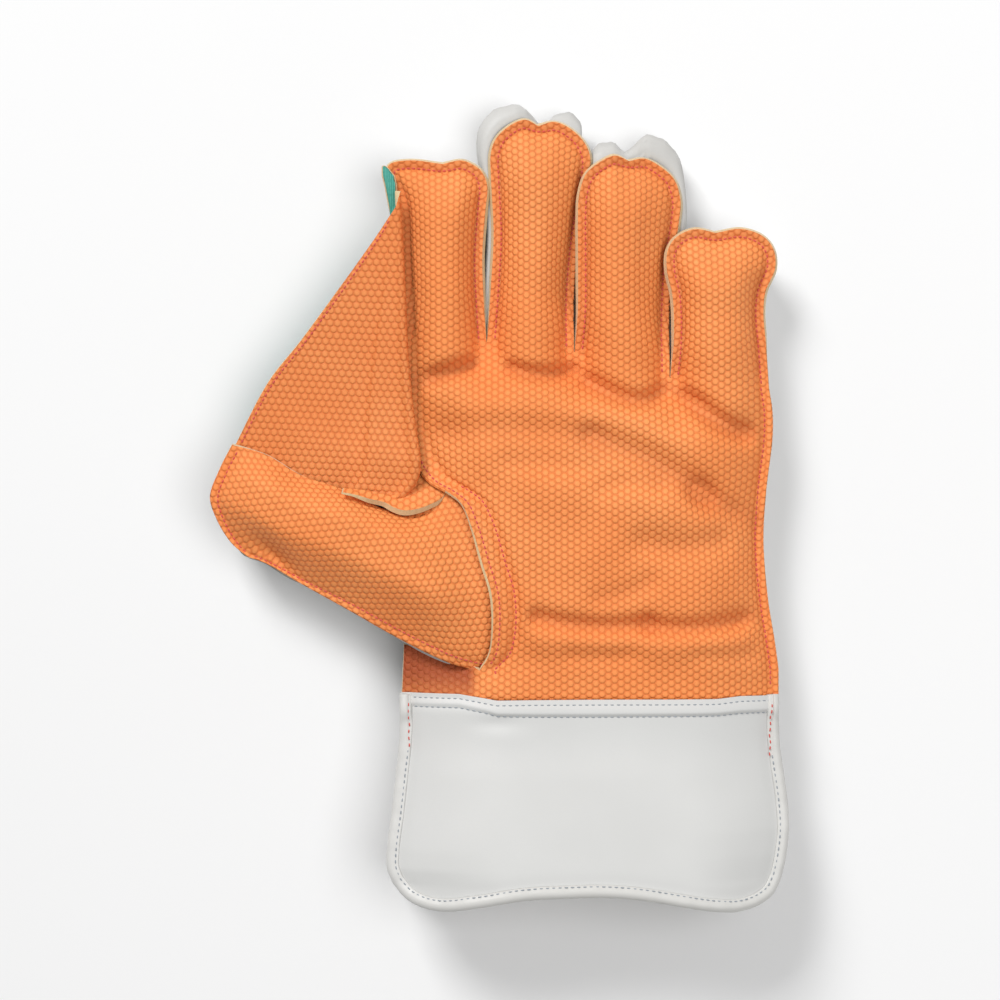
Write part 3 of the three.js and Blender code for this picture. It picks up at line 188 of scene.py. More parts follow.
# Shares of the cuff's half width and length
CUFF_LEFT = [
    (-0.946, 0.0), (-0.946, 0.2), (-0.964, 0.38), (-0.984, 0.56), (-1.006, 0.73), (-1.006, 0.82), (-0.976, 0.89),
]
CUFF_RIGHT = [(0.952, 0.0), (0.952, 0.2), (0.97, 0.35), (0.99, 0.5), (0.996, 0.63), (0.982, 0.75), (0.955, 0.86)]
CUFF_BOTTOM = [
    (-0.976, 0.89), (-0.91, 0.955), (-0.825, 0.99), (-0.72, 1.0), (-0.55, 0.975), (-0.34, 0.94), (-0.13, 0.928),
    (0.1, 0.925), (0.29, 0.942), (0.47, 0.972), (0.62, 0.996), (0.73, 1.002), (0.84, 0.978), (0.915, 0.93),
    (0.955, 0.86),
]


# Small maths
def point(x, y, z=0.0):
    return np.array([x, y, z], float)


def clamp(x, a, b):
    return np.minimum(np.maximum(x, a), b)


def smooth(x, a, b):
    t = clamp((np.asarray(x, float) - a) / (b - a), 0, 1)
    return t * t * (3 - 2 * t)


def lerp(a, b, t):
    return a + (b - a) * t


def dome(q):
    return np.sin(clamp(q, 0, 1) * math.pi / 2) ** 0.75


def bell(x, middle, width):
    return np.exp(-(((x - middle) / width) ** 2))


def soft_min(a, b, k):
    return -k * np.logaddexp(-np.asarray(a, float) / k, -np.asarray(b, float) / k)


def unit(v):
    v = np.asarray(v, float)
    return v / max(np.linalg.norm(v), 1e-9)


def level(v):
    return v * np.array([1, 1, 0])


def right_of(points, k):
    """The level direction square to a line at one of its points, to its right as seen from above."""
    run = points[min(k + 1, len(points) - 1)] - points[max(k - 1, 0)]
    return unit(point(run[1], -run[0]))


def on_palm(row):
    lift = row[2] if len(row) > 2 else 0.0
    return point(row[0] * PALM_HALF, row[1] * PALM_LENGTH, SEAM_TOP + lift * THUMB_LIFT)


def all_on(place, rows):
    return [place(r) for r in rows]


def dense(points, per=30):
    """The centripetal spline through the points, finely sampled."""
    p = [np.asarray(q, float) for q in points]
    p = [2 * p[0] - p[1]] + p + [2 * p[-1] - p[-2]]
    out = []
    for k in range(1, len(p) - 2):
        x0, x1, x2, x3 = p[k - 1 : k + 3]
        pairs = ((x0, x1), (x1, x2), (x2, x3))
        d0, d1, d2 = [max(float(np.sum((b - a) ** 2)) ** 0.25, 1e-5) for a, b in pairs]
        t1 = ((x1 - x0) / d0 - (x2 - x0) / (d0 + d1) + (x2 - x1) / d1) * d1
        t2 = ((x2 - x1) / d1 - (x3 - x1) / (d1 + d2) + (x3 - x2) / d2) * d1
        t = np.linspace(0, 1, per + 1)[:, None]
        if k < len(p) - 3:
            t = t[:-1]
        out.append(x1 + t1 * t + (-3 * x1 + 3 * x2 - 2 * t1 - t2) * t**2 + (2 * x1 - 2 * x2 + t1 + t2) * t**3)
    return np.vstack(out)


def placed(points, shares):
    """Points at these shares of the spline's length."""
    d = dense(points)
    run = np.concatenate([[0], np.cumsum(np.linalg.norm(np.diff(d, axis=0), axis=1))])
    s = np.asarray(shares, float) * run[-1]
    return np.stack([np.interp(s, run, d[:, k]) for k in range(3)], axis=1)


def spaced(points, n):
    return placed(points, np.linspace(0, 1, n + 1))


def between(a, b, n):
    return np.stack([lerp(a, b, k / n) for k in range(n + 1)])


def fill(left, right, bottom, top):
    """A grid between four edges."""
    v = np.linspace(0, 1, len(left))[:, None, None]
    u = np.linspace(0, 1, len(bottom))[None, :, None]
    left, right, bottom, top = [np.asarray(a, float) for a in (left, right, bottom, top)]
    sides = bottom[None] * (1 - v) + top[None] * v + left[:, None] * (1 - u) + right[:, None] * u
    corners = bottom[0] * (1 - u) * (1 - v) + bottom[-1] * u * (1 - v) + top[0] * (1 - u) * v + top[-1] * u * v
    return sides - corners


def smooth_noise(x, y, seed, scale):
    """Gentle fixed unevenness, about -1 to 1."""
    r = np.random.RandomState(seed)
    total = np.zeros(np.broadcast(x, y).shape)
    for _ in range(7):
        a = r.uniform(0, math.tau)
        f = (0.6 + 0.9 * r.rand()) / scale
        total = total + np.sin((x * math.cos(a) + y * math.sin(a)) * f * math.tau + r.uniform(0, math.tau))
    return total / 4.0


# Fingers and palm
def finger_outline(f, number, side, tip_half):
    a, b = on_palm(FORKS[number]), on_palm(FORKS[number + 1])
    base = (a + b) / 2
    axis = point(f["lean"] * FINGER_HALF, f["length"] * FINGER_LENGTH)
    across = unit(point(-axis[1], axis[0])) * f["half"] * FINGER_HALF
    left = [a] + [base + axis * r[0] + across * r[1] for r in f["rows"]]
    right = [b] + [base + axis * r[0] - across * r[2] for r in f["rows"]]
    loop = np.vstack([spaced(left, side + tip_half), spaced(right, side + tip_half)[::-1][1:]])
    inward = np.stack([right_of(loop, i) for i in range(len(loop))])
    inward[0] = unit(level(b - a))
    inward[-1] = -inward[0]
    return dict(
        loop=loop, inward=inward, axis=axis, base=base, side=side, tip_half=tip_half,
        share=clamp((loop - base) @ axis / (axis @ axis), 0, 1.05),
        right=smooth(-((loop - base) @ unit(across)), -8, 8),
    )


def edge_lift(f, o):
    return LAP * lerp(f["lift"][0], f["lift"][1], o["right"]) * smooth(o["share"], 0.03, 0.26)


def finger_front(f, number, side, tip_half, margin_steps=6):
    o = finger_outline(f, number, side, tip_half)
    share, n = o["share"], len(o["loop"]) - 1
    outer = o["loop"].copy()
    outer[:, 2] = SEAM_TOP + edge_lift(f, o)
    margin = FLANGE * lerp(lerp(f["margin"][0], f["margin"][1], o["right"]), 1, smooth(share, 0.78, 0.95))
    inner = outer + o["inward"] * margin[:, None]
    # Evens out the inner ring where the outline turns sharply
    for _ in range(6):
        inner[1:-1] = inner[1:-1] * 0.5 + (inner[:-2] + inner[2:]) * 0.25
    cols = 2 * tip_half
    bottom = between(inner[0], inner[n], cols)
    mid = fill(inner[: side + 1], inner[n - side :][::-1], bottom, inner[side : n - side + 1])
    along = (mid - o["base"]) @ unit(o["axis"])
    q = 1 - np.abs(np.linspace(-1, 1, cols + 1))[None, :]
    to_tip = along[side][None, :] - along
    rise = FINGER_RISE * dome(q) * np.where(to_tip <= 1e-6, 0, dome(to_tip / TIP_ROUND))
    # Soft unevenness of stuffed rubber, none at the edges
    uneven = smooth_noise(mid[..., 0], mid[..., 1], 11 + number, 26.0) * 0.55
    mid[..., 2] += rise + uneven * smooth(rise, 1.0, 7.0) * smooth(along, 6, 25)
    # The edge turns up a little outside the row of stitches, but not where the web's fold lies on it
    curl = 0.55 * smooth(share, 0.12, 0.4)
    if number == 0:
        curl = curl * np.maximum(o["right"], smooth(share, 0.93, 1.0))
    outer[:, 2] += curl
    rings = []
    for t in np.linspace(0, 1, margin_steps + 1):
        ring = lerp(inner, outer, t)
        ring[:, 2] += curl * (t * t - t) - GROOVE * smooth(share, 0.02, 0.1) * bell(t, 0.08, 0.3) * (1 - t)
        rings.append(ring)
    mid[: side + 1, 0] = rings[0][: side + 1]
    mid[: side + 1, -1] = rings[0][n - side :][::-1]
    mid[side] = rings[0][side : n - side + 1]
    return dict(mid=mid, margin=np.stack(rings), outer=outer, o=o)


def crease_depth(x, y):
    depth = np.zeros(x.shape)
    for a, b, c, d, w in CREASES:
        a, b, c = [np.array([q[0] * PALM_HALF, q[1] * PALM_LENGTH]) for q in (a, b, c)]
        t = np.linspace(0, 1, 13)[:, None]
        line = (1 - t) ** 2 * a + 2 * t * (1 - t) * b + t * t * c
        near = np.full(x.shape, 1e9)
        for s, e in zip(line[:-1], line[1:]):
            run = e - s
            k = clamp(((x - s[0]) * run[0] + (y - s[1]) * run[1]) / (run @ run), 0, 1)
            near = np.minimum(near, np.hypot(x - s[0] - run[0] * k, y - s[1] - run[1] * k))
        depth += d * CREASE_DEPTH * bell(near, 0, w * CREASE_WIDTH)
    return clamp(depth, -1.6, 1.2 * CREASE_DEPTH)


def crease_shade(g):
    """How much painted shade a place on the palm gets for lying in a crease."""
    return clamp(crease_depth(g[..., 0], g[..., 1]) / CREASE_DEPTH - 0.15, 0, 0.8) * 0.3


def wrist_height(x):
    left, right = HAND_LEFT[0][0] * PALM_HALF, PALM_RIGHT[0][0] * PALM_HALF
    rise = lambda d: lerp(SEAM_TOP, WRIST_CROWN, dome((d - FLANGE) / WRIST_SHOULDER))
    return soft_min(rise(x - left), rise(right - x), 1.0)


def fork_line(x):
    at = np.array(all_on(on_palm, FORKS))
    return np.interp(x, at[:, 0], at[:, 1])


def palm_margin(y):
    """How far the thumb's edge of the palm is flat, from the wrist up."""
    return np.interp(y, [r[1] * PALM_LENGTH for r in PALM_LEFT], [r[3] * FLANGE for r in PALM_LEFT])


def palm_patches(palm_rows=104, heel_rows=10, side=60, tip_half=15):
    fronts = [finger_front(f, k, side, tip_half) for k, f in enumerate(FINGERS)]
    parts = []
    for k, fr in enumerate(fronts):
        row = np.vstack([fr["margin"][::-1, 0][:-1], fr["mid"][0], fr["margin"][1:, -1]])
        parts.append(row if k == 0 else row[1:])
    top = np.vstack(parts)
    heel_edge = spaced([on_palm(HEEL_CORNER), on_palm(PALM_LEFT[0])], heel_rows)
    left = np.vstack([heel_edge, spaced(all_on(on_palm, PALM_LEFT), palm_rows)[1:]])
    wrist_right = on_palm((PALM_RIGHT[0][0], 0))
    low_right = spaced([wrist_right, on_palm(PALM_RIGHT[0])], heel_rows)
    right = np.vstack([low_right, spaced(all_on(on_palm, PALM_RIGHT), palm_rows)[1:]])
    share = (top[:, 0] - top[0, 0]) / (top[-1, 0] - top[0, 0])
    s = lerp(share, np.linspace(0, 1, len(top)), 0.2)[:, None]
    rows = fill(left, right, left[0] * (1 - s) + wrist_right * s, top)
    x, y = rows[..., 0], rows[..., 1]
    from_left = np.hypot(x - left[:, None, 0], y - left[:, None, 1])
    from_right = np.hypot(x - right[:, None, 0], y - right[:, None, 1])
    margin = palm_margin(y)
    share_y = clamp(y / PALM_LENGTH, 0, 1)
    crown = lerp(WRIST_CROWN, PALM_CROWN, smooth(share_y, 0, 0.3)) - 3 * smooth(share_y, 0.6, 1)
    lz, rz = left[:, 2][:, None], right[:, 2][:, None]
    lifted = (lz - SEAM_TOP) / THUMB_LIFT
    rise = lambda edge, d: lerp(edge, crown, dome(d / PALM_SHOULDER))
    z = soft_min(rise(lz, from_left - margin), rise(rz, from_right - FLANGE), 0.8)
    z = np.minimum(z, crown) - 2.0 * lifted * bell(from_left, margin, 2.3)
    z[:, 0], z[:, -1] = left[:, 2], right[:, 2]
    inside = smooth(np.minimum(from_left - margin * 0.6, from_right - FLANGE), 0, 10)
    to_forks = fork_line(x) - y
    z = lerp(top[None, :, 2], z, smooth(to_forks, 0, SCALLOP))
    z = lerp(wrist_height(x), z, smooth(y, 0, 14))
    z[-1] = top[:, 2]
    # Takes out the ridges that run on from the slits
    soft = smooth(to_forks, 0.5, 13) * (1 - smooth(to_forks, 44, 60))
    soft *= smooth(np.minimum(from_left - margin, from_right), 3, 9)
    for _ in range(26):
        z[:, 1:-1] = lerp(z[:, 1:-1], (z[:, :-2] + 2 * z[:, 1:-1] + z[:, 2:]) / 4, soft[:, 1:-1])
    near_edge = smooth(y, 4, 16) * smooth(to_forks, 1, 9)
    uneven = smooth_noise(x, y, 5, 34.0) * 0.6 + smooth_noise(x, y, 9, 17.0) * 0.24
    z = z + (uneven - crease_depth(x, y)) * inside * near_edge
    groove = bell(from_right, STITCH_IN, 0.9) * smooth(y, 4, 12) * smooth(to_forks, 0, 6)
    groove = groove + bell(from_left, PALM_STITCH_IN, 0.8) * smooth(lifted, 0.05, 0.3) * 0.7
    rows[..., 2] = z - GROOVE * groove * (from_left > 0.2) * (from_right > 0.2)
    return fronts, rows


def heel_patch(palm_rows, heel_rows=10, columns=26):
    right = palm_rows[: heel_rows + 1, 0]
    low, high = on_palm(HAND_LEFT[0]), on_palm((-1.005, 0.142))
    bottom = between(low, right[0], columns)
    bottom[:-1, 2] = wrist_height(bottom[:-1, 0])
    under_thumb = all_on(on_palm, [(-0.86, 0.128, 0.02), (-0.73, 0.106, 0.08), (-0.65, 0.088, 0.28)])
    top = spaced([high] + under_thumb + [right[heel_rows]], columns)
    return fill(between(low, high, heel_rows), right, bottom, top)


def fine_rings():
    """The back's section, with rounded corners instead of the source's few rings."""
    pts = np.array(BACK_RINGS, float)
    t = np.arange(len(pts), dtype=float)
    return [tuple(np.interp(s, t, pts[:, k]) for k in range(3)) for s in np.linspace(0, t[-1], 16)]


BACK_RINGS_FINE = fine_rings()


def trough(loop, side, place):
    """A leather back: rings down from the loop and a floor inside the last."""
    n = len(loop) - 1
    rings = np.stack([np.stack([place(r, loop[i], i) for i in range(n + 1)]) for r in BACK_RINGS_FINE])
    inner = rings[-1]
    bottom = between(inner[0], inner[n], n - 2 * side)
    floor = fill(inner[: side + 1], inner[n - side :][::-1], bottom, inner[side : n - side + 1])
    return [floor[:, ::-1], rings[::-1][:, ::-1]]


def floor_height(drop):
    """The trough's underside is rounded off into its floor."""
    return 0.0 if drop >= 0.999 else 0.4 * (1 - float(smooth(drop, 0.85, 1.0)))


def finger_back(f, number, side=34, tip_half=10):
    o = finger_outline(f, number, side, tip_half)
    n = len(o["loop"]) - 1
    u = unit(o["axis"])
    sideways = point(-u[1], u[0])
    lift = edge_lift(f, o)

    def place(ring, p, i):
        inset, drop, bag = ring
        share, right = float(o["share"][i]), float(o["right"][i])
        set_in = lerp(f["tuck"][0], f["tuck"][1], right)
        tuck = set_in * (1 - float(smooth(share, 0.86, 0.96)) if set_in > 0 else 1) * min(drop / 0.15, 1)
        narrow = lerp(0.3, 1, clamp(share / 0.22, 0, 1)) * lerp(1, 0.8, float(smooth(share, 0.8, 1)))
        sd = max((inset + tuck) * FLANGE * narrow, -FLANGE if drop > 0 else GAP + 0.2)
        # In the slits the leather swells up between the fingers
        slit = set_in < 0 and 0 < drop < 0.45
        if slit:
            sd = max(sd, -2.7)
        from_tip = i - n / 2
        lobe = lerp(f["bag"][0], f["bag"][1], float(smooth(from_tip, -2, 2)))
        lobe = lerp(lobe, f["notch"], bell(from_tip, 0, tip_half * 0.42))
        # The loose leather is gathered in small pleats round the tip
        pleat = 0.35 * bag * math.sin(i * 1.9) * float(smooth(share, 0.84, 0.97))
        baggy = bag * lobe * FINGER_HALF * float(smooth(share, 0.74, 0.9)) + pleat
        wide = f["spread"][int(from_tip > 0)] * bag
        wide *= float(smooth(share, 0.72, 0.88) * smooth(abs(from_tip), 0, tip_half))
        start = GAP + 0.5 if i in (0, n) else 0.0
        into = unit(level(o["base"] + o["axis"] * min(share, 0.78) - p))
        q = p + into * sd + u * (baggy + start) + sideways * (wide if from_tip < 0 else -wide)
        top = SEAM_UNDER + 0.35 * float(smooth(share, 0.15, 0.4)) + lift[i]
        q[2] = lerp(top, floor_height(drop), drop)
        if slit:
            q[2] += 3.6 * float(smooth(-sd, 0.2, 1.0) * smooth(drop, 0, 0.1) * (1 - smooth(drop, 0.15, 0.45)))
        return q

    return trough(o["loop"], side, place)


def hand_back(rows_n=70):
    right_table = [(PALM_RIGHT[0][0], 0)] + PALM_RIGHT
    edge = lambda table, y: np.interp(y, [r[1] * PALM_LENGTH for r in table], [r[0] * PALM_HALF for r in table])
    heights = [lerp(SEAM_UNDER, floor_height(r[1]), r[1]) for r in BACK_RINGS_FINE]
    walls = list(zip([r[0] * FLANGE for r in BACK_RINGS_FINE], heights))
    inset = BACK_RINGS[-1][0] * FLANGE
    grid = []
    for s in np.linspace(0, 1, rows_n + 1):
        ly, ry = s * FORKS[0][1] * PALM_LENGTH, s * FORKS[-1][1] * PALM_LENGTH
        left, right = edge(HAND_LEFT, ly), edge(right_table, ry)
        t = ly / PALM_LENGTH
        # The wall is low where the thumb and the web come in
        wall = 1 - 0.78 * float(smooth(t, 0.1, 0.12) * (1 - smooth(t, 0.58, 0.605)))
        row = [point(left + max(d, GAP), s * fork_line(left + d), h * wall) for d, h in walls]
        row += [point(x, s * fork_line(x)) for x in np.linspace(left + inset, right - inset, 42)[1:-1]]
        row += [point(right - max(d, GAP), s * fork_line(right - d), h) for d, h in walls[::-1]]
        grid.append(row)
    return [np.array(grid)[:, ::-1]]


# Thumb, web and lip
def tucked(a, b):
    """Points under the palm's edge over the thumb."""
    edge = all_on(on_palm, PALM_LEFT)
    out = []
    for k in range(a, b + 1):
        run = edge[k + 1] - edge[max(k - 1, 0)]
        q = edge[k] + right_of(edge, k) * THUMB_TUCK
        q[2] = edge[k][2] - UNDER * math.hypot(1, run[2] / np.linalg.norm(level(run)))
        out.append(q)
    return out


TURN = math.radians(THUMB_ANGLE)
THUMB_AXIS = point(math.cos(TURN), math.sin(TURN))
THUMB_ACROSS = point(math.sin(TURN), -math.cos(TURN))


def on_thumb(row):
    p = on_palm(THUMB_MIDDLE) + THUMB_AXIS * (row[0] * THUMB_LENGTH) + THUMB_ACROSS * (row[1] * THUMB_WIDTH)
    p[2] = row[2] * SEAM
    return p


T_BASE = tucked(0, 7)
T_LOW = all_on(on_thumb, THUMB_LOW)
T_TIP = all_on(on_thumb, [THUMB_LOW[-1]] + THUMB_TIP)
T_HIGH = all_on(on_thumb, [THUMB_TIP[-1]] + THUMB_HIGH)


def thumb_front(rows_n=44, cols_n=96):
    base = spaced(T_BASE, rows_n)
    tip = spaced(T_TIP[::-1], rows_n)[::-1]
    g = fill(tip, base, spaced(T_LOW[::-1] + [base[0]], cols_n), spaced(T_HIGH + [base[rows_n]], cols_n))
    d = lambda other: np.linalg.norm(g - other, axis=2)
    from_low, from_high, from_tip, from_base = d(g[0][None]), d(g[-1][None]), d(g[:, :1]), d(g[:, -1:])
    across = lerp(smooth(from_low, 4, 27), dome((from_low - FLANGE) / (THUMB_WIDTH * 0.6)), 0.3)
    across = across * smooth(from_high, -2.5, 13)
    along = dome((from_tip - FLANGE) / (THUMB_WIDTH * 0.55)) * smooth(from_base - 8, 0, 24)
    dent = 3.9 * np.exp(-((from_tip - 21) ** 2 / 70 + (from_low - 11) ** 2 / 46))
    groove = bell(np.minimum(from_low, from_tip), STITCH_IN, 0.9)
    groove = groove * smooth(from_high, 3, 8) * smooth(from_base, 3, 8)
    edge = smooth(np.minimum(np.minimum(from_low, from_high), np.minimum(from_tip, from_base)), 0, 4)
    uneven = smooth_noise(g[..., 0], g[..., 1], 23, 30.0) * 0.4
    # The upper edge stands a little over the web
    proud = 1.3 * bell(from_high, 0, 3) * smooth(from_tip, 6, 20) * smooth(from_base, 14, 36)
    g[..., 2] += (THUMB_RISE * across * along - dent + uneven) * edge - GROOVE * groove + proud
    return g


def thumb_back(heel_at):
    side, tip_parts = 34, 16
    loop = np.vstack([spaced(T_LOW[2:], side), spaced(T_TIP, tip_parts)[1:], spaced(T_HIGH[:-2], side)[1:]])
    n = len(loop) - 1
    sheets = WEB_RUBBER * 1.15 + BACKING * 1.1 + GAP * 6

    def inward(p):
        """Towards the thumb's middle line, so that the rings don't cross at the corner."""
        along = min(float((p - on_palm(THUMB_MIDDLE)) @ THUMB_AXIS) / THUMB_LENGTH, 0.72)
        return unit(level(on_thumb((along, -0.2 + 0.48 * along, 1)) - p))

    def place(ring, p, i):
        inset, drop, _ = ring
        top = p[2] - RUBBER * 1.1 - GAP - LEATHER + 0.1 - float(smooth(i, side + 9, n - side + 1)) * sheets
        reach = float(clamp((p - loop[0]) @ THUMB_AXIS / (THUMB_LENGTH * 0.7), 0, 1))
        under = 1.6 * float(smooth(i, n - n * 4 / 19, n - n / 19))
        q = p + inward(p) * ((inset - under) * FLANGE)
        q[2] = lerp(top, lerp(THUMB_FLOOR, THUMB_TIP_FLOOR, reach), drop)
        return q

    # The leather peeks out under the facing where the thumb leaves the heel
    over = spaced([T_BASE[0]] + T_LOW[:3], 22)[::-1]
    strip = []
    for k, p in enumerate(over):
        top = p[2] - RUBBER * 1.1 - GAP - LEATHER
        heel_top = heel_at(p[0]) - RUBBER * 1.3 - GAP - LEATHER
        out = 0.32 * math.sin(math.pi * min(1, k / 22 * 1.15)) ** 0.7
        section = [(0.5, top), (0.14 - out, top), (-0.05 - out, lerp(top, heel_top, 0.5))]
        section.append((-0.1 - out * 0.6, min(heel_top, top - 1)))
        away = right_of(over, k)
        strip.append([point(p[0] - away[0] * a * FLANGE, p[1] - away[1] * a * FLANGE, z) for a, z in section])
    return trough(loop, side, place) + [np.array(strip)]


def web_layer(rows_n=70, cols_n=44):
    fold = [on_palm(r) + point(0, 0, GAP + FOLD_RISE) for r in WEB_FOLD]
    right = spaced([p - right_of(fold, k) * FOLD_RADIUS for k, p in enumerate(fold)], rows_n)
    high = [p - THUMB_ACROSS * WEB_TUCK - point(0, 0, UNDER) for p in T_HIGH[:4]]
    left = spaced([high[0]] + all_on(on_palm, WEB_FREE), rows_n)
    bottom = spaced(high + all_on(on_palm, WEB_HEM) + [right[0]], cols_n)
    g = fill(left, right, bottom, between(left[-1], right[-1], cols_n))
    wide = clamp(np.linalg.norm(left - right, axis=1) / PALM_HALF, 0, 1)[:, None]
    arch = lambda n: np.sin(np.linspace(0, math.pi, n + 1))
    g[..., 2] -= WEB_SAG * wide * arch(cols_n)[None] * arch(rows_n)[:, None]
    return g


def web_fold(layer, steps=14):
    edge = layer[:, -1]
    n = len(edge) - 1
    out = []
    for j in range(n + 1):
        outward = right_of(edge, j)
        run = point(-outward[1], outward[0])
        shift = FOLD_TIP * float(smooth(j / n, 0.86, 1))
        row = []
        for k in range(steps + 1):
            a = math.pi / 2 - math.radians(FOLD_TURN) * k / steps
            q = edge[j] + (outward * FOLD_RADIUS + run * shift * 0.8) * math.cos(a)
            row.append(q + point(0, 0, FOLD_RADIUS * (math.sin(a) - 1)))
        out.append(row)
    return np.array(out)


def web_back(layer):
    n, c = layer.shape[0] - 1, layer.shape[1] - 1
    low = layer.copy()
    clear = GAP * (1 + 2.6 * smooth(np.linspace(0, 1, n + 1), 0.55, 0.92))
    low[..., 2] -= WEB_RUBBER * 1.15 + clear[:, None]
    low[:, -1, 0] -= np.minimum(0.8, np.linalg.norm(layer[:, -1] - layer[:, -2], axis=1) * 0.6)
    marks = [low[-1]] + [between(on_palm((a, y, l)), on_palm((b, y, l)), c) for a, b, y, l in WEB_EAR]
    ear = [lerp(a, b, k / 6) for a, b in zip(marks[:-1], marks[1:]) for k in range(6)]
    return [low, np.array(ear + [marks[-1]])]


def lip_patch(skin, cols=60, rows=8):
    a, b, c = tucked(7, 9)
    bottom = spaced(all_on(on_palm, LIP_LOWER) + [lerp(a, b, 0.1) - point(0, 0, 1.2)], cols)
    top = spaced(all_on(on_palm, LIP_UPPER) + [c - point(0, 0, 1.8)], cols)
    g = between(bottom, top, rows)
    flat = skin.reshape(-1, 3)
    wanted = g[..., 2].copy()
    for i in range(cols + 1):
        for j in range(rows + 1):
            near = np.hypot(flat[:, 0] - g[j, i, 0], flat[:, 1] - g[j, i, 1]) < LIP_REACH
            clear = float(flat[near, 2].max()) + RUBBER * 1.2 + GAP if near.any() else -1e9
            if clear > wanted[j, i]:
                wanted[j, i] = lerp(clear, wanted[j, i], float(smooth(i / cols, 0.7, 0.95)))
    for _ in range(60):
        wanted[:, 1:-1] = wanted[:, 1:-1] * 0.5 + (wanted[:, :-2] + wanted[:, 2:]) * 0.25
        wanted[1:-1] = wanted[1:-1] * 0.5 + (wanted[:-2] + wanted[2:]) * 0.25
    # The lower edge curls up in two places, as in the picture
    t = np.linspace(0, 1, cols + 1)
    curl = 1.3 * bell(t, 0.52, 0.13) + 0.6 * bell(t, 0.2, 0.07)
    g[..., 2] = wanted + curl[None] * (1 - np.linspace(0, 1, rows + 1)[:, None]) ** 2
    return g


# Cuff, band and binding
def on_cuff(row):
    return point(row[0] * CUFF_HALF, -row[1] * CUFF_LENGTH)


def down_cuff(y, most):
    return clamp(-y / CUFF_LENGTH, 0, most)


def from_side(x, y):
    down = down_cuff(y, 1)
    edge = lambda table: np.interp(down, [r[1] for r in table], [r[0] for r in table]) * CUFF_HALF
    return np.maximum(soft_min(x - edge(CUFF_LEFT), edge(CUFF_RIGHT) - x, 1), 0)


def from_edge(x, y):
    hem = np.array(all_on(on_cuff, CUFF_BOTTOM))
    return np.minimum(from_side(x, y), y - np.interp(x, hem[:, 0], hem[:, 1]))


def cuff_top(x, y):
    x, y = np.asarray(x, float), np.asarray(y, float)
    down = down_cuff(y, 1.1)
    inside = from_edge(x, y)
    side = SEAM_TOP + GAP + CUFF_FLARE * smooth(down, 0.22, 1)
    crown = lerp(WRIST_CROWN, CUFF_CROWN - CUFF_APART, smooth(down, 0, 1))
    arch = lerp(side, crown, np.sin(clamp(from_side(x, y) / CUFF_ARCH, 0, 1) * math.pi / 2))
    z = CUFF_APART * smooth(down, 0, 0.09) + lerp(wrist_height(x) + GAP, arch, smooth(down, 0.03, 0.4))
    drawn = 0.25 * bell(inside, BIND_WIDTH + 0.6, 2.4) * smooth(down, 0.12, 0.25)
    pucker = 0.8 * bell(x, -35, 8) * bell(y, -11, 2.6) - 0.2 * bell(x, -30, 9) * bell(y, -16, 3.4)
    soft = smooth_noise(x, y, 31, 46.0) * 0.4 * smooth(down, 0.15, 0.4) * smooth(inside, 6, 18)
    return z - drawn - pucker + soft


def cuff_under(x, y):
    down = down_cuff(np.asarray(y, float), 1.1)
    apart = smooth(down, 0, 0.09)
    side = SEAM_TOP - 2 * CUFF_EDGE - GAP * 1.5 - CUFF_APART * apart - CUFF_FLARE * 0.7 * smooth(down, 0.22, 1)
    reach = CUFF_REACH + CUFF_SPREAD * down
    return lerp(CUFF_LIFT * apart, side, (1 - clamp(from_side(x, y) / reach, 0, 1)) ** 2)


def cuff_thick(p):
    return CUFF_EDGE + CUFF_PAD * smooth(from_edge(p[:, 0], p[:, 1]), 7, 28) * smooth(-p[:, 1], 4, 22)


def start_at(table, distance):
    """A side of the cuff that starts this far below the wrist."""
    return [(table[0][0], distance / CUFF_LENGTH)] + table[1:]


def cuff_grid(inset, rows_n=64, cols_n=110):
    t = np.linspace(0, 1, cols_n + 1)
    shares = lerp(t, 0.5 - 0.5 * np.cos(math.pi * t), 0.5)
    side = lambda table: spaced(all_on(on_cuff, start_at(table, PAD_START)[::-1]), rows_n)
    left, right = side(CUFF_LEFT) + point(inset, 0), side(CUFF_RIGHT) - point(inset, 0)
    pts = all_on(on_cuff, CUFF_BOTTOM)
    hem = [p - right_of(pts, k) * inset for k, p in enumerate(pts)]
    left[0], right[0] = hem[0], hem[-1]
    top = np.stack([point(lerp(left[-1][0], right[-1][0], u), -PAD_START) for u in shares])
    left[-1], right[-1] = top[0], top[-1]
    return fill(left, right, placed(hem, shares), top)


def off_surface(height, x, y, h):
    sx = (height(x + 1, y) - height(x - 1, y)) / 2
    sy = (height(x, y + 1) - height(x, y - 1)) / 2
    return point(x, y, float(height(x, y))) + unit(point(float(-sx), float(-sy), 1.0)) * h


def band_at(x, column):
    return float(np.interp(x, [r[0] for r in BAND], [r[column] for r in BAND]))


def on_band(x, y, over=0.0):
    """The band lies on palm and pad, its stitches press it down and its lower edge sinks into the pad."""
    skin = lambda u, v: max(float(wrist_height(np.asarray(u, float))), float(cuff_top(u, min(v, 0))))
    lower = band_at(x, 4)
    h = 0.8 + 0.12 * float(smooth(y, lower + 1.4, lower + 3))
    h -= 0.14 * (bell(y, band_at(x, 2), 0.8) + bell(y, band_at(x, 3), 0.8))
    return off_surface(skin, x, y, h - 1.25 * (1 - float(smooth(y, lower, lower + 2.9))) + over)


def cuff_band(rows_n=22, cols_n=150):
    half = CUFF_HALF * CUFF_RIGHT[0][0] * 0.992
    xs = [-half * math.cos(math.pi * i / cols_n) for i in range(cols_n + 1)]
    up = np.linspace(0, 1, rows_n + 1)
    return np.array([[on_band(x, lerp(band_at(x, 4), band_at(x, 1), v)) for x in xs] for v in up])


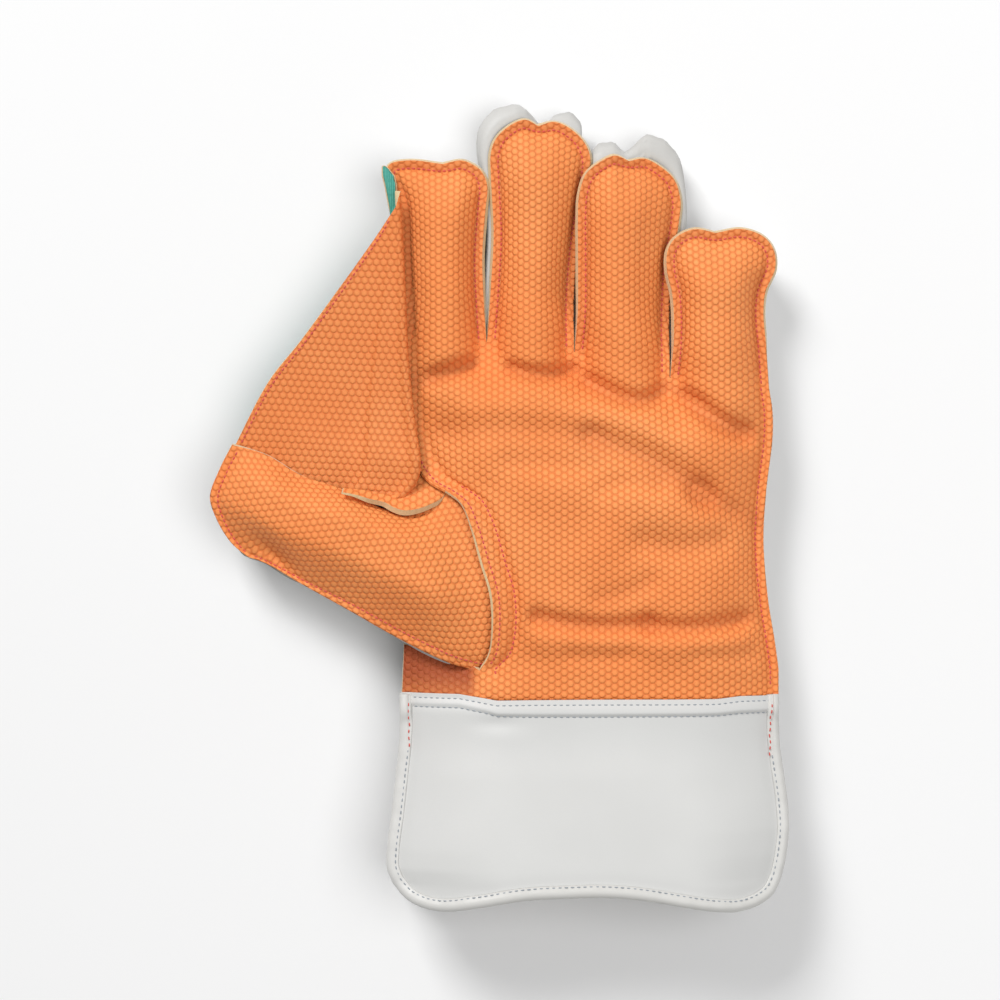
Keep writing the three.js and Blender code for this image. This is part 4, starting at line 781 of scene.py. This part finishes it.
def binding_path(n_side=50, n_hem=110):
    left = spaced(all_on(on_cuff, start_at(CUFF_LEFT, BIND_START)), n_side)
    hem = spaced(all_on(on_cuff, CUFF_BOTTOM), n_hem)
    right = spaced(all_on(on_cuff, start_at(CUFF_RIGHT, BIND_START)[::-1]), n_side)
    return np.vstack([left, hem[1:], right[1:]])


def over_band(y):
    """How much higher the binding lies where it runs over the band's end."""
    return 0.9 * float(smooth(y, -11, -7))


def beside_binding(path, k, height, inset, h):
    p = path[k] - right_of(path, k) * inset
    return off_surface(height, p[0], p[1], h)


def binding(height, up):
    """The tape folded over the pad's edge; its section is inset and height over the pad."""
    over, low = BIND_OVER, -CUFF_EDGE
    below = low - over
    section = [
        (BIND_WIDTH, 0.05), (4.4, 0.45), (4.15, 0.75), (BIND_STITCH, 0.92), (3.3, 1.1), (2.7, over + 0.1),
        (2.0, over + 0.3), (1.2, over + 0.2), (0.4, over - 0.2), (-0.1, over * 0.5), (-0.35, 0.0), (-0.45, low / 2),
        (-0.35, low), (0.0, low - over * 0.5), (0.6, below), (1.6, below - 0.1), (2.6, below), (3.6, below),
        (BIND_WIDTH, below),
    ]
    path = binding_path()
    out = []
    for k, p in enumerate(path):
        # The tape isn't quite even along its length
        more = 0.12 * math.sin(k * 0.55) + 0.08 * math.sin(k * 1.31 + 1)
        more += over_band(p[1]) if up > 0 else 0.0
        raised = [(a, h + (more if h > 0.3 else 0)) for a, h in section]
        out.append([beside_binding(path, k, height, a, h * up) for a, h in raised])
    return np.array(out)


# From grids to Blender meshes
def new_object(name, points, faces):
    mesh = bpy.data.meshes.new(name)
    mesh.from_pydata([tuple(p) for p in points], [], faces)
    obj = bpy.data.objects.new(name, mesh)
    bpy.context.scene.collection.objects.link(obj)
    return obj


def joined(patches, uvs, shade_masks):
    """The patches as one skin: points, faces, each face's pattern and each point's amount of painted shade."""
    points, faces, pattern, keys, painted_shade = [], [], [], {}, {}
    for number, g in enumerate(patches):
        ids = np.zeros(g.shape[:2], int)
        for j, i in np.ndindex(*g.shape[:2]):
            key = tuple(round(c * 50) for c in g[j, i])
            if key not in keys:
                keys[key] = len(points)
                points.append(g[j, i])
            ids[j, i] = keys[key]
        uv = uvs[number] if uvs is not None else g[..., :2]
        if shade_masks is not None and shade_masks[number] is not None:
            painted_shade.update(zip(ids.ravel().tolist(), shade_masks[number].ravel().tolist()))
        for j, i in np.ndindex(g.shape[0] - 1, g.shape[1] - 1):
            corners = [(j, i), (j, i + 1), (j + 1, i + 1), (j + 1, i)]
            q = [int(ids[c]) for c in corners]
            keep = [k for k in range(4) if q[k] != q[k - 1]]
            if len(keep) > 2:
                faces.append([q[k] for k in keep])
                pattern.append([tuple(uv[corners[k]]) for k in keep])
    return np.array(points), faces, pattern, painted_shade


def build_sheet(name, patches, thickness, uvs=None, flare=0.0, shade_masks=None):
    """A closed sheet: the outer skin's patches, an inner skin and a rim. Material 0, 1 and 2.
    flare leans the rim out, so that the cut edge shows from above."""
    v, quads, pattern, painted_shade = joined(patches, uvs, shade_masks)
    normals = np.zeros_like(v)
    for f in quads:
        n = np.cross(v[f[2]] - v[f[0]], v[f[-1]] - v[f[1]])
        for k in f:
            normals[k] += n
    normals /= np.maximum(np.linalg.norm(normals, axis=1), 1e-9)[:, None]
    thick = thickness(v) if callable(thickness) else np.full(len(v), thickness)
    inner = v - normals * thick[:, None]
    edges = {(f[k - 1], f[k]): (w[k - 1], w[k]) for f, w in zip(quads, pattern) for k in range(len(f))}
    rim = [(a, b) for a, b in edges if (b, a) not in edges]
    if flare:
        out = np.zeros_like(v)
        for a, b in rim:
            o = unit(np.cross(v[b] - v[a], normals[a] + normals[b]))
            out[a] += o
            out[b] += o
        out /= np.maximum(np.linalg.norm(out, axis=1), 1e-9)[:, None]
        inner += out * flare * 0.6
        v = v - out * flare * 0.4
    N = len(v)
    faces = [tuple(f) for f in quads] + [tuple(k + N for k in reversed(f)) for f in quads]
    faces += [(b, a, a + N, b + N) for a, b in rim]
    uv = pattern + [w[::-1] for w in pattern]
    uv += [(edges[e][1], edges[e][0], edges[e][0], edges[e][1]) for e in rim]
    obj = new_object(name, (np.vstack([v, inner]) + SHIFT) * MM, faces)
    mesh = obj.data
    layer = mesh.uv_layers.new(name="Pattern")
    layer.data.foreach_set("uv", [float(c) * MM for w in uv for at in w for c in at])
    # Each point's painted shade, which darkens the rubber's colour; the inner skin gets none
    shade = mesh.attributes.new("PaintedShade", "FLOAT", "POINT")
    shade.data.foreach_set("value", [float(painted_shade.get(k, 0.0)) for k in range(N)] + [0.0] * N)
    mesh.polygons.foreach_set("material_index", [0] * len(quads) + [1] * len(quads) + [2] * len(rim))
    mesh.polygons.foreach_set("use_smooth", [True] * 2 * len(quads) + [False] * len(rim))
    mesh.update()
    return obj


# Materials
def srgb(*color):
    return tuple(c / 255 / 12.92 if c / 255 <= 0.04045 else ((c / 255 + 0.055) / 1.055) ** 2.4 for c in color)


class Graph:
    """A material's shader nodes. Each method adds one node and gives its output."""

    def __init__(self, name):
        self.material = bpy.data.materials.new(name)
        self.material.use_nodes = True
        self.nodes = self.material.node_tree.nodes
        self.surface = self.nodes["Principled BSDF"].inputs

    def feed(self, socket, value):
        if isinstance(value, bpy.types.NodeSocket):
            self.material.node_tree.links.new(value, socket)
        else:
            socket.default_value = (*value, 1) if socket.type == "RGBA" else value

    def add(self, kind, inputs=None, out=0, **settings):
        node = self.nodes.new("ShaderNode" + kind)
        for name, value in settings.items():
            setattr(node, name, value)
        for key, value in (inputs or {}).items():
            self.feed(node.inputs[key], value)
        return node.outputs[out]

    def math(self, operation, a, *more, use_clamp=False):
        return self.add("Math", dict(enumerate((a, *more))), operation=operation, use_clamp=use_clamp)

    def vector(self, operation, a, *more, out="Vector"):
        return self.add("VectorMath", dict(enumerate((a, *more))), out, operation=operation)

    def remap(self, value, a, b, low=0.0, high=1.0, form="SMOOTHSTEP"):
        inputs = {"Value": value, "From Min": a, "From Max": b, "To Min": low, "To Max": high}
        return self.add("MapRange", inputs, "Result", interpolation_type=form)

    def mix(self, share, a, b):
        return self.add("Mix", {0: share, 6: a, 7: b}, 2, data_type="RGBA")

    def noise(self, place, scale, detail, rough=0.5):
        inputs = {"Vector": place, "Scale": scale, "Detail": detail, "Roughness": rough}
        return self.add("TexNoise", inputs, "Fac")

    def bump(self, height, strength, distance, normal=None):
        inputs = {"Strength": strength, "Distance": distance, "Height": height}
        if normal is not None:
            inputs["Normal"] = normal
        return self.add("Bump", inputs, "Normal")

    def finish(self, **looks):
        for name, value in looks.items():
            self.feed(self.surface[name.replace("_", " ")], value)
        return self.material


def hex_cells(g):
    """In a honeycomb: the distance from the cell's edge, 0 to 0.5, and from its middle, in pitches."""
    height = math.sqrt(3)
    cell, half = (1.0, height, 1.0), (0.5, height / 2, 0.5)
    uv = g.add("UVMap", out="UV", uv_map="Pattern")
    p = g.add("VectorMath", {0: uv, "Scale": 1.0 / PITCH}, operation="SCALE")
    p = g.vector("ADD", p, (1000.0, 1000.0 * height, 0.0))
    measures = []
    for start in (p, g.vector("ADD", p, half)):
        v = g.vector("ABSOLUTE", g.vector("SUBTRACT", g.vector("MODULO", start, cell), half))
        flat = g.vector("MULTIPLY", v, (1.0, 1.0, 0.0))
        slanted = g.vector("DOT_PRODUCT", flat, (0.5, height / 2, 0.0), out="Value")
        edge = g.math("MAXIMUM", slanted, g.add("SeparateXYZ", {0: flat}))
        measures.append((edge, g.vector("LENGTH", flat, out="Value")))
    (edge_a, middle_a), (edge_b, middle_b) = measures
    return g.math("SUBTRACT", 0.5, g.math("MINIMUM", edge_a, edge_b)), g.math("MINIMUM", middle_a, middle_b)


def rubber_material(name, lit, dark, warm, shadow):
    """Moulded rubber: round knobs in a honeycomb, with thin grooves between them and a faint ring on each. The
    grooves are painted darker as shade, and each point's painted shade pulls the colour towards the shadow colour.
    """
    g = Graph(name)
    edge, middle = hex_cells(g)
    place = g.add("TexCoord", out="Object")
    from_ring = g.math("ABSOLUTE", g.math("SUBTRACT", middle, 0.23))
    relief = g.math("MULTIPLY", g.remap(edge, 0.0, 0.26), 0.35)
    relief = g.math("ADD", relief, g.math("MULTIPLY", g.remap(middle, 0.56, 0.22), 0.65))
    relief = g.math("ADD", relief, g.math("MULTIPLY", g.remap(from_ring, 0.0, 0.07), 0.14))
    broad, fine = g.noise(place, 22.0, 3.0), g.noise(place, 900.0, 2.0)
    base = g.mix(g.remap(broad, 0.35, 0.65), lit, warm)
    # Painted shade: the honeycomb's grooves are coloured dark
    shade = g.mix(g.math("MULTIPLY_ADD", relief, 0.78, 0.14, use_clamp=True), dark, base)
    # Painted shade in creases, along seams, on the web and under the thumb, read from the mesh's per-point
    # attribute
    painted_shade = g.mix(g.add("Attribute", out="Fac", attribute_name="PaintedShade"), shade, shadow)
    return g.finish(
        Base_Color=g.mix(g.math("MULTIPLY", fine, 0.2), painted_shade, lit),
        Roughness=g.remap(broad, 0.3, 0.7, 0.56, 0.7, "LINEAR"),
        Normal=g.bump(fine, 0.15, 0.00015, g.bump(relief, 0.8, 0.00044)),
        Specular_IOR_Level=0.3,
    )


def cloth_material(name, color, dark, scale=1400.0):
    """Woven backing, lining and the cut edge's fibres."""
    g = Graph(name)
    place = g.add("TexCoord", out="Object")
    weave = {"Scale": scale * 0.5, "Distortion": 1.2, "Detail": 1.0, "Vector": place}
    both = g.math("MULTIPLY", g.add("TexWave", weave, "Fac"), g.noise(place, scale, 2.0))
    return g.finish(
        Base_Color=g.mix(g.remap(both, 0.1, 0.5), dark, color),
        Roughness=0.9,
        Sheen_Weight=0.25,
        Normal=g.bump(both, 0.4, 0.0002),
    )


def leather_material(name, color, dark, rough=0.46, wrinkles=0.25):
    """Smooth coated leather: very fine grain, broad soft unevenness, a few faint wrinkles."""
    g = Graph(name)
    place = g.add("TexCoord", out="Object")
    broad, grain = g.noise(place, 16.0, 3.0), g.noise(place, 1500.0, 2.0)
    base = g.mix(g.remap(broad, 0.32, 0.7), color, dark)
    grained = g.bump(grain, 0.12, 0.00008)
    return g.finish(
        Base_Color=g.mix(g.remap(grain, 0.3, 0.75, 0.0, 0.25), base, dark),
        Roughness=g.remap(broad, 0.3, 0.7, rough - 0.05, rough + 0.1, "LINEAR"),
        Normal=g.bump(g.noise(place, 95.0, 4.0, 0.55), wrinkles, 0.0005, grained),
        Specular_IOR_Level=0.35,
    )


def thread_material(name, color):
    g = Graph(name)
    n = g.noise(g.add("TexCoord", out="Object"), 2500.0, 1.0)
    return g.finish(
        Base_Color=g.mix(n, tuple(c * 0.72 for c in color), color),
        Roughness=0.6,
        Sheen_Weight=0.3,
        Normal=g.bump(n, 0.3, 0.0001),
    )


# The facing's dark colour is painted shade in the grooves; its shadow colour is the painted shade of creases,
# seams, the web and the heel
orange = rubber_material("facing", srgb(249, 158, 90), srgb(219, 107, 48), srgb(245, 147, 80), srgb(150, 58, 30))
cream = cloth_material("raw_edge", srgb(232, 208, 164), srgb(202, 172, 126))
lining = cloth_material("lining", srgb(205, 198, 186), srgb(176, 167, 155))
teal = cloth_material("web_backing", srgb(92, 178, 162), srgb(58, 140, 126), scale=900.0)
white = leather_material("white_leather", srgb(204, 203, 200), srgb(190, 188, 184), wrinkles=0.7)
cuff_white = leather_material("cuff_leather", srgb(211, 211, 209), srgb(205, 205, 203), wrinkles=0.12)
tape = leather_material("binding", srgb(211, 210, 207), srgb(203, 202, 198), rough=0.42, wrinkles=0.3)
pink = thread_material("thread_pink", srgb(226, 88, 76))
pale = thread_material("thread_pale", srgb(158, 165, 173))
FACING = (orange, lining, cream)
LEATHER_BACK = (white, lining, white)
CUFF_SKIN = (cuff_white, lining, cuff_white)


def add_piece(name, patches, thickness, mats, node, slot, **looks):
    obj = build_sheet(name, patches, thickness, **looks)
    for m in mats:
        obj.data.materials.append(m)
    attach(obj, "root")
    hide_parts(node)
    return obj


# The facing of palm and fingers
def arc_excess(g):
    """How much longer each row is along the surface than in plan, from its middle."""
    step = np.diff(g, axis=1)
    extra = np.linalg.norm(step[..., [0, 2]], axis=2) - np.abs(step[..., 0])
    run = np.concatenate([np.zeros((g.shape[0], 1)), np.cumsum(extra, axis=1)], axis=1)
    centre = g.shape[1] // 2
    return run - run[:, centre : centre + 1]


def facing_thick(v):
    """The raw edge over the thumb is thinned, so only a narrow line of it shows."""
    raw = dense(all_on(on_palm, PALM_LEFT[:11]))
    t = np.full(len(v), RUBBER)
    for k in np.where((v[:, 0] < raw[:, 0].max() + 4) & (v[:, 1] < raw[:, 1].max() + 4))[0]:
        d = np.min(np.hypot(raw[:, 0] - v[k, 0], raw[:, 1] - v[k, 1]))
        t[k] = lerp(0.9, RUBBER, float(smooth(d, 0.0, 3.0)))
    return t


def add_facing(fronts, palm_rows, heel):
    palm_uv = palm_rows[..., :2].copy()
    below_forks = smooth(fork_line(palm_rows[..., 0]) - palm_rows[..., 1], 26, 60)
    palm_uv[..., 0] += arc_excess(palm_rows) * below_forks
    heel_uv = heel[..., :2] + (palm_uv[0, 0] - heel[0, -1, :2])
    # The strip that carries the palm on under the band
    edge = np.vstack([heel[0, :-1], palm_rows[0]])
    edge_uv = np.vstack([heel_uv[0, :-1], palm_uv[0]])
    patches = [palm_rows, heel, np.stack([edge - point(0, TAIL), edge])]
    uvs = [palm_uv, heel_uv, np.stack([edge_uv - np.array([0, TAIL]), edge_uv])]
    # Painted shadow of the thumb over the heel strip, heavier higher up; painted shade in the palm's creases
    heel_shade = (smooth(heel[..., 1], -2, 9) * 0.4 + 0.56) * smooth(heel[..., 0], -41, -46)
    shade_masks = [crease_shade(palm_rows), heel_shade, None]
    for fr in fronts:
        mid, margin, o = fr["mid"], fr["margin"], fr["o"]
        side = o["side"]
        uv = mid[..., :2].copy()
        uv[..., 0] += arc_excess(mid) * smooth((mid - o["base"]) @ unit(o["axis"]), 0, 25)
        # The margin carries on from the patch's own edge
        edge_uv = np.vstack([uv[:, 0], uv[side, 1:-1], uv[::-1, -1]])
        margin_uv = margin[..., :2] + (edge_uv - margin[0][:, :2])[None]
        patches += [mid, margin]
        uvs += [uv, margin_uv]
        # Painted shade along each margin's stitch groove, along the sides and tip of each finger's patch, and in
        # its creases
        ring = np.linspace(0.24, 0.1, len(margin))[:, None] * smooth(o["share"], 0.02, 0.1)[None]
        sides = np.zeros(mid.shape[:2])
        sides[:, 1] = sides[:, -2] = 0.14
        sides[:, 0] = sides[:, -1] = sides[side] = 0.24
        shade_masks += [np.maximum(sides * smooth(np.arange(side + 1), 0, 6)[:, None], crease_shade(mid)), ring]
    looks = dict(uvs=[u[..., ::-1] for u in uvs], flare=0.34, shade_masks=shade_masks)
    facing = add_piece("palm_facing", patches, facing_thick, FACING, "palm_rubber", "facing_rubber", **looks)
    # Beside the web the edge isn't cut: it runs on into the flap
    for poly in facing.data.polygons:
        c = np.array(poly.center) / MM - SHIFT
        if poly.material_index == 2 and c[0] < -54.5 and 60 < c[1] < 125:
            poly.material_index = 0


fronts, palm_rows = palm_patches()
cuff_plan = cuff_grid(BIND_WALL + GAP)
# From the part's source to the record's frame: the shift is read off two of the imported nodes
SHIFT = point(
    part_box("cuff_front")[0][0] / MM - cuff_plan[..., 0].min(),
    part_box("palm_rubber")[1][1] / MM - max(float(fr["outer"][:, 1].max()) for fr in fronts),
)
heel = heel_patch(palm_rows)
add_facing(fronts, palm_rows, heel)

for k, f in enumerate(FINGERS):
    name = f["name"]
    add_piece(f"{name}_finger_back", finger_back(f, k), LEATHER, LEATHER_BACK, f"{name}_back", "back_leather")
add_piece("back_of_hand", hand_back(), LEATHER, LEATHER_BACK, "hand_back", "back_leather")


# Thumb, web and lip
def turned(uv, degrees):
    """The pattern turned, so that a row of cells runs at this angle from the X axis."""
    c, d = math.cos(math.radians(degrees)), math.sin(math.radians(degrees))
    return np.stack([uv[..., 0] * c + uv[..., 1] * d, -uv[..., 0] * d + uv[..., 1] * c], axis=-1)


def thumb_uv(g):
    """The pattern goes round the thumb."""
    step = np.diff(g, axis=0)
    extra = np.linalg.norm(step, axis=2) - np.linalg.norm(step[..., :2], axis=2)
    run = np.concatenate([np.zeros((1, g.shape[1])), np.cumsum(extra, axis=0)], axis=0)
    run -= run[g.shape[0] // 2][None]
    return turned(g[..., :2] + run[..., None] * THUMB_ACROSS[None, None, :2], 5.0)


def lip_thick(v):
    """The lip thins out towards the thumb's tip."""
    return lerp(0.6, RUBBER, smooth(v[:, 0], lip[..., 0].min(), lip[..., 0].min() + 16))


thumb = thumb_front()
thumb_looks = dict(uvs=[thumb_uv(thumb)], flare=0.5)
add_piece("thumb_facing", [thumb], RUBBER, FACING, "thumb_rubber", "facing_rubber", **thumb_looks)
heel_at = lambda x: float(np.interp(x, heel[-1][:, 0], heel[-1][:, 2]))
add_piece("thumb_back_leather", thumb_back(heel_at), LEATHER, LEATHER_BACK, "thumb_back", "back_leather")
layer = web_layer()
fold = web_fold(layer)
# The web's facing and its fold get an even painted shade, a little more on the fold
web_looks = dict(
    uvs=[turned(g[..., :2], -3.0) for g in (layer, fold)], flare=0.3,
    shade_masks=[np.full(layer.shape[:2], 0.17), np.full(fold.shape[:2], 0.2)],
)
EDGED = (orange, cream, cream)
add_piece("web_facing", [layer, fold], WEB_RUBBER, EDGED, "web_rubber", "facing_rubber", **web_looks)
add_piece("web_lining", web_back(layer), BACKING, (teal, teal, cream), "web_back", "web_backing", flare=0.7)
lip = lip_patch(thumb)
lip_looks = dict(uvs=[lip[..., 1::-1]], flare=0.45)
add_piece("lip", [lip], lip_thick, EDGED, "thumb_lip", "facing_rubber", **lip_looks)


# Cuff
def pad(name, height, node, turn):
    g = cuff_plan.copy()
    g[..., 2] = height(g[..., 0], g[..., 1])
    return add_piece(name, [g[:, ::turn]], cuff_thick, CUFF_SKIN, node, "cuff_leather")


front = pad("cuff_front_pad", cuff_top, "cuff_front", 1)
back = pad("cuff_back_pad", cuff_under, "cuff_back", -1)
add_piece("wrist_band", [cuff_band()], BAND_THICK, CUFF_SKIN, "cuff_band", "cuff_leather")
add_piece("front_binding", [binding(cuff_top, 1)], BIND_WALL, (tape,) * 3, "binding_front", "binding")
add_piece("back_binding", [binding(cuff_under, -1)[:, ::-1]], BIND_WALL, (tape,) * 3, "binding_back", "binding")


# Stitches
def stitches(name, paths, mat, slot, pitch, length, radius):
    """Small rounded threads along each path, one joined mesh."""
    verts, faces = [], []
    sides, rings = 6, [(-0.5, 0.25), (-0.38, 0.8), (0.0, 1.0), (0.38, 0.8), (0.5, 0.25)]
    for path in paths:
        path = np.asarray(path, float)
        run = np.concatenate([[0], np.cumsum(np.linalg.norm(np.diff(path, axis=0), axis=1))])
        at = lambda t: np.array([np.interp(t, run, path[:, k]) for k in range(3)])
        count = max(int(run[-1] / pitch), 1)
        for s in (np.arange(count) + 0.5) * run[-1] / count:
            d = unit(at(min(s + 0.6, run[-1])) - at(max(s - 0.6, 0)))
            side = unit(np.cross(d, [0, 0, 1.0]))
            up = np.cross(side, d)
            base = len(verts)
            for t, w in rings:
                centre = at(s) + d * (t * length) - up * (abs(t) * radius * 1.2)
                for a in np.arange(sides) * math.tau / sides:
                    verts.append(centre + (side * math.cos(a) + up * math.sin(a)) * radius * w)
            for r in range(len(rings) - 1):
                for q in range(sides):
                    a, b = base + r * sides + q, base + r * sides + (q + 1) % sides
                    faces.append((a, b, b + sides, a + sides))
            faces.append(tuple(base + q for q in reversed(range(sides))))
            faces.append(tuple(base + (len(rings) - 1) * sides + q for q in range(sides)))
    obj = new_object(name, (np.array(verts) + SHIFT) * MM, faces)
    obj.data.polygons.foreach_set("use_smooth", [True] * len(faces))
    obj.data.materials.append(mat)
    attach(obj, "root")


def inset_path(grid, rows, from_end, distance):
    """Points on the grid this far from its first or last column. distance is a number or a function."""
    out = []
    for j in rows:
        row = grid[j][::-1] if from_end else grid[j]
        d = np.linalg.norm(row[:, :2] - row[0][:2], axis=1)
        at = distance(row[0]) if callable(distance) else distance
        out.append([np.interp(at, d, row[:, k]) for k in range(3)])
    return np.array(out) + point(0, 0, 0.12)


def finger_paths():
    out = []
    for k, fr in enumerate(fronts):
        # The index finger's left row lies under the web's fold
        first = int(np.argmax(fr["o"]["share"] > 0.93)) if k == 0 else 1
        out.append((fr["margin"][1] + point(0, 0, 0.1))[first:-1])
    return out


def tack(x, top, bottom):
    """A short upright row of pink stitches where the cuff is closed at the side."""
    wander = lambda y: x + 0.25 * math.sin(y * 0.9)
    return [off_surface(cuff_top, wander(y), y, 1.12 + over_band(y)) for y in np.linspace(top, bottom, 24)]


n = palm_rows.shape[0]
palm_paths = [
    inset_path(palm_rows, range(3, n), True, STITCH_IN),
    inset_path(palm_rows, range(12, n - 26), False, PALM_STITCH_IN),
    inset_path(palm_rows, range(8, n - 44), False, lambda p: float(palm_margin(p[1]))),
]
low_path = inset_path(thumb.transpose(1, 0, 2), range(5, thumb.shape[1] - 3), False, STITCH_IN)
tip_path = inset_path(thumb, range(4, thumb.shape[0] - 2), False, STITCH_IN)
web_path = inset_path(layer, range(3, layer.shape[0] - 2), False, WEB_STITCH_IN)
stitches("finger_stitches", finger_paths(), pink, "facing_rubber", **THREAD)
stitches("palm_stitches", palm_paths, pink, "facing_rubber", **THREAD)
stitches("thumb_stitches", [low_path[::-1], tip_path], pink, "facing_rubber", **THREAD)
stitches("web_stitches", [web_path], pink, "facing_rubber", **THREAD)

band_paths = [[on_band(x, band_at(x, c), 0.05) for x in np.linspace(-66.5, 69.0, 140)] for c in (2, 3)]
stitches("band_stitches", band_paths, pale, "cuff_leather", 2.35, 1.5, 0.24)
tacks = [tack(-67.9, -3.8, -21.1), tack(68.1, -4.2, -24.3)]
stitches("side_tacks", tacks, pink, "binding", 2.3, 1.4, 0.27)
path = binding_path()
bind_path = [
    beside_binding(path, k, cuff_top, BIND_STITCH, 1.0 + over_band(p[1])) for k, p in enumerate(path)
]
stitches("binding_stitches", [bind_path[14:-16]], pale, "binding", 2.3, 1.4, 0.26)


# Floor, light, camera
def area(name, place, size, power, target=(0, 0, 0.02)):
    light = bpy.data.lights.new(name, "AREA")
    light.shape = "RECTANGLE"
    light.size = light.size_y = size
    light.energy = power
    obj = bpy.data.objects.new(name, light)
    bpy.context.scene.collection.objects.link(obj)
    obj.location = place
    obj.rotation_euler = (Vector(target) - Vector(place)).to_track_quat("-Z", "Y").to_euler()


FLOOR_HALF, FLOOR_Z, CAMERA_Z = 4.0, -0.0005, 0.92
corners = [(x * FLOOR_HALF, y * FLOOR_HALF, FLOOR_Z) for x, y in ((-1, -1), (1, -1), (1, 1), (-1, 1))]
floor = new_object("floor", corners, [(0, 1, 2, 3)])
paper = Graph("floor")
cloudy = paper.noise(paper.add("TexCoord", out="Object"), 3.0, 1.0)
floor_color = paper.mix(cloudy, (0.87, 0.87, 0.87), (0.89, 0.89, 0.89))
floor.data.materials.append(paper.finish(Base_Color=floor_color, Roughness=0.9, Specular_IOR_Level=0.1))

scene = bpy.context.scene
if scene.world is None:
    scene.world = bpy.data.worlds.new("studio")
scene.world.use_nodes = True
background = scene.world.node_tree.nodes["Background"].inputs
background["Color"].default_value = (1, 1, 1, 1)
background["Strength"].default_value = 0.27
area("key", (-1.2, 2.1, 1.9), 1.1, 68.0)
area("soft", (0.7, -0.1, 1.6), 1.3, 15.0)

cam = bpy.data.cameras.new("camera")
cam.lens = 85
cam.sensor_width = 36
cam.clip_start = 0.01
cam_obj = bpy.data.objects.new("camera", cam)
scene.collection.objects.link(cam_obj)
cam_obj.location = (0.0, 0.0, CAMERA_Z)
cam_obj.rotation_euler = (0, 0, 0)
scene.camera = cam_obj
scene.view_settings.view_transform = "Standard"
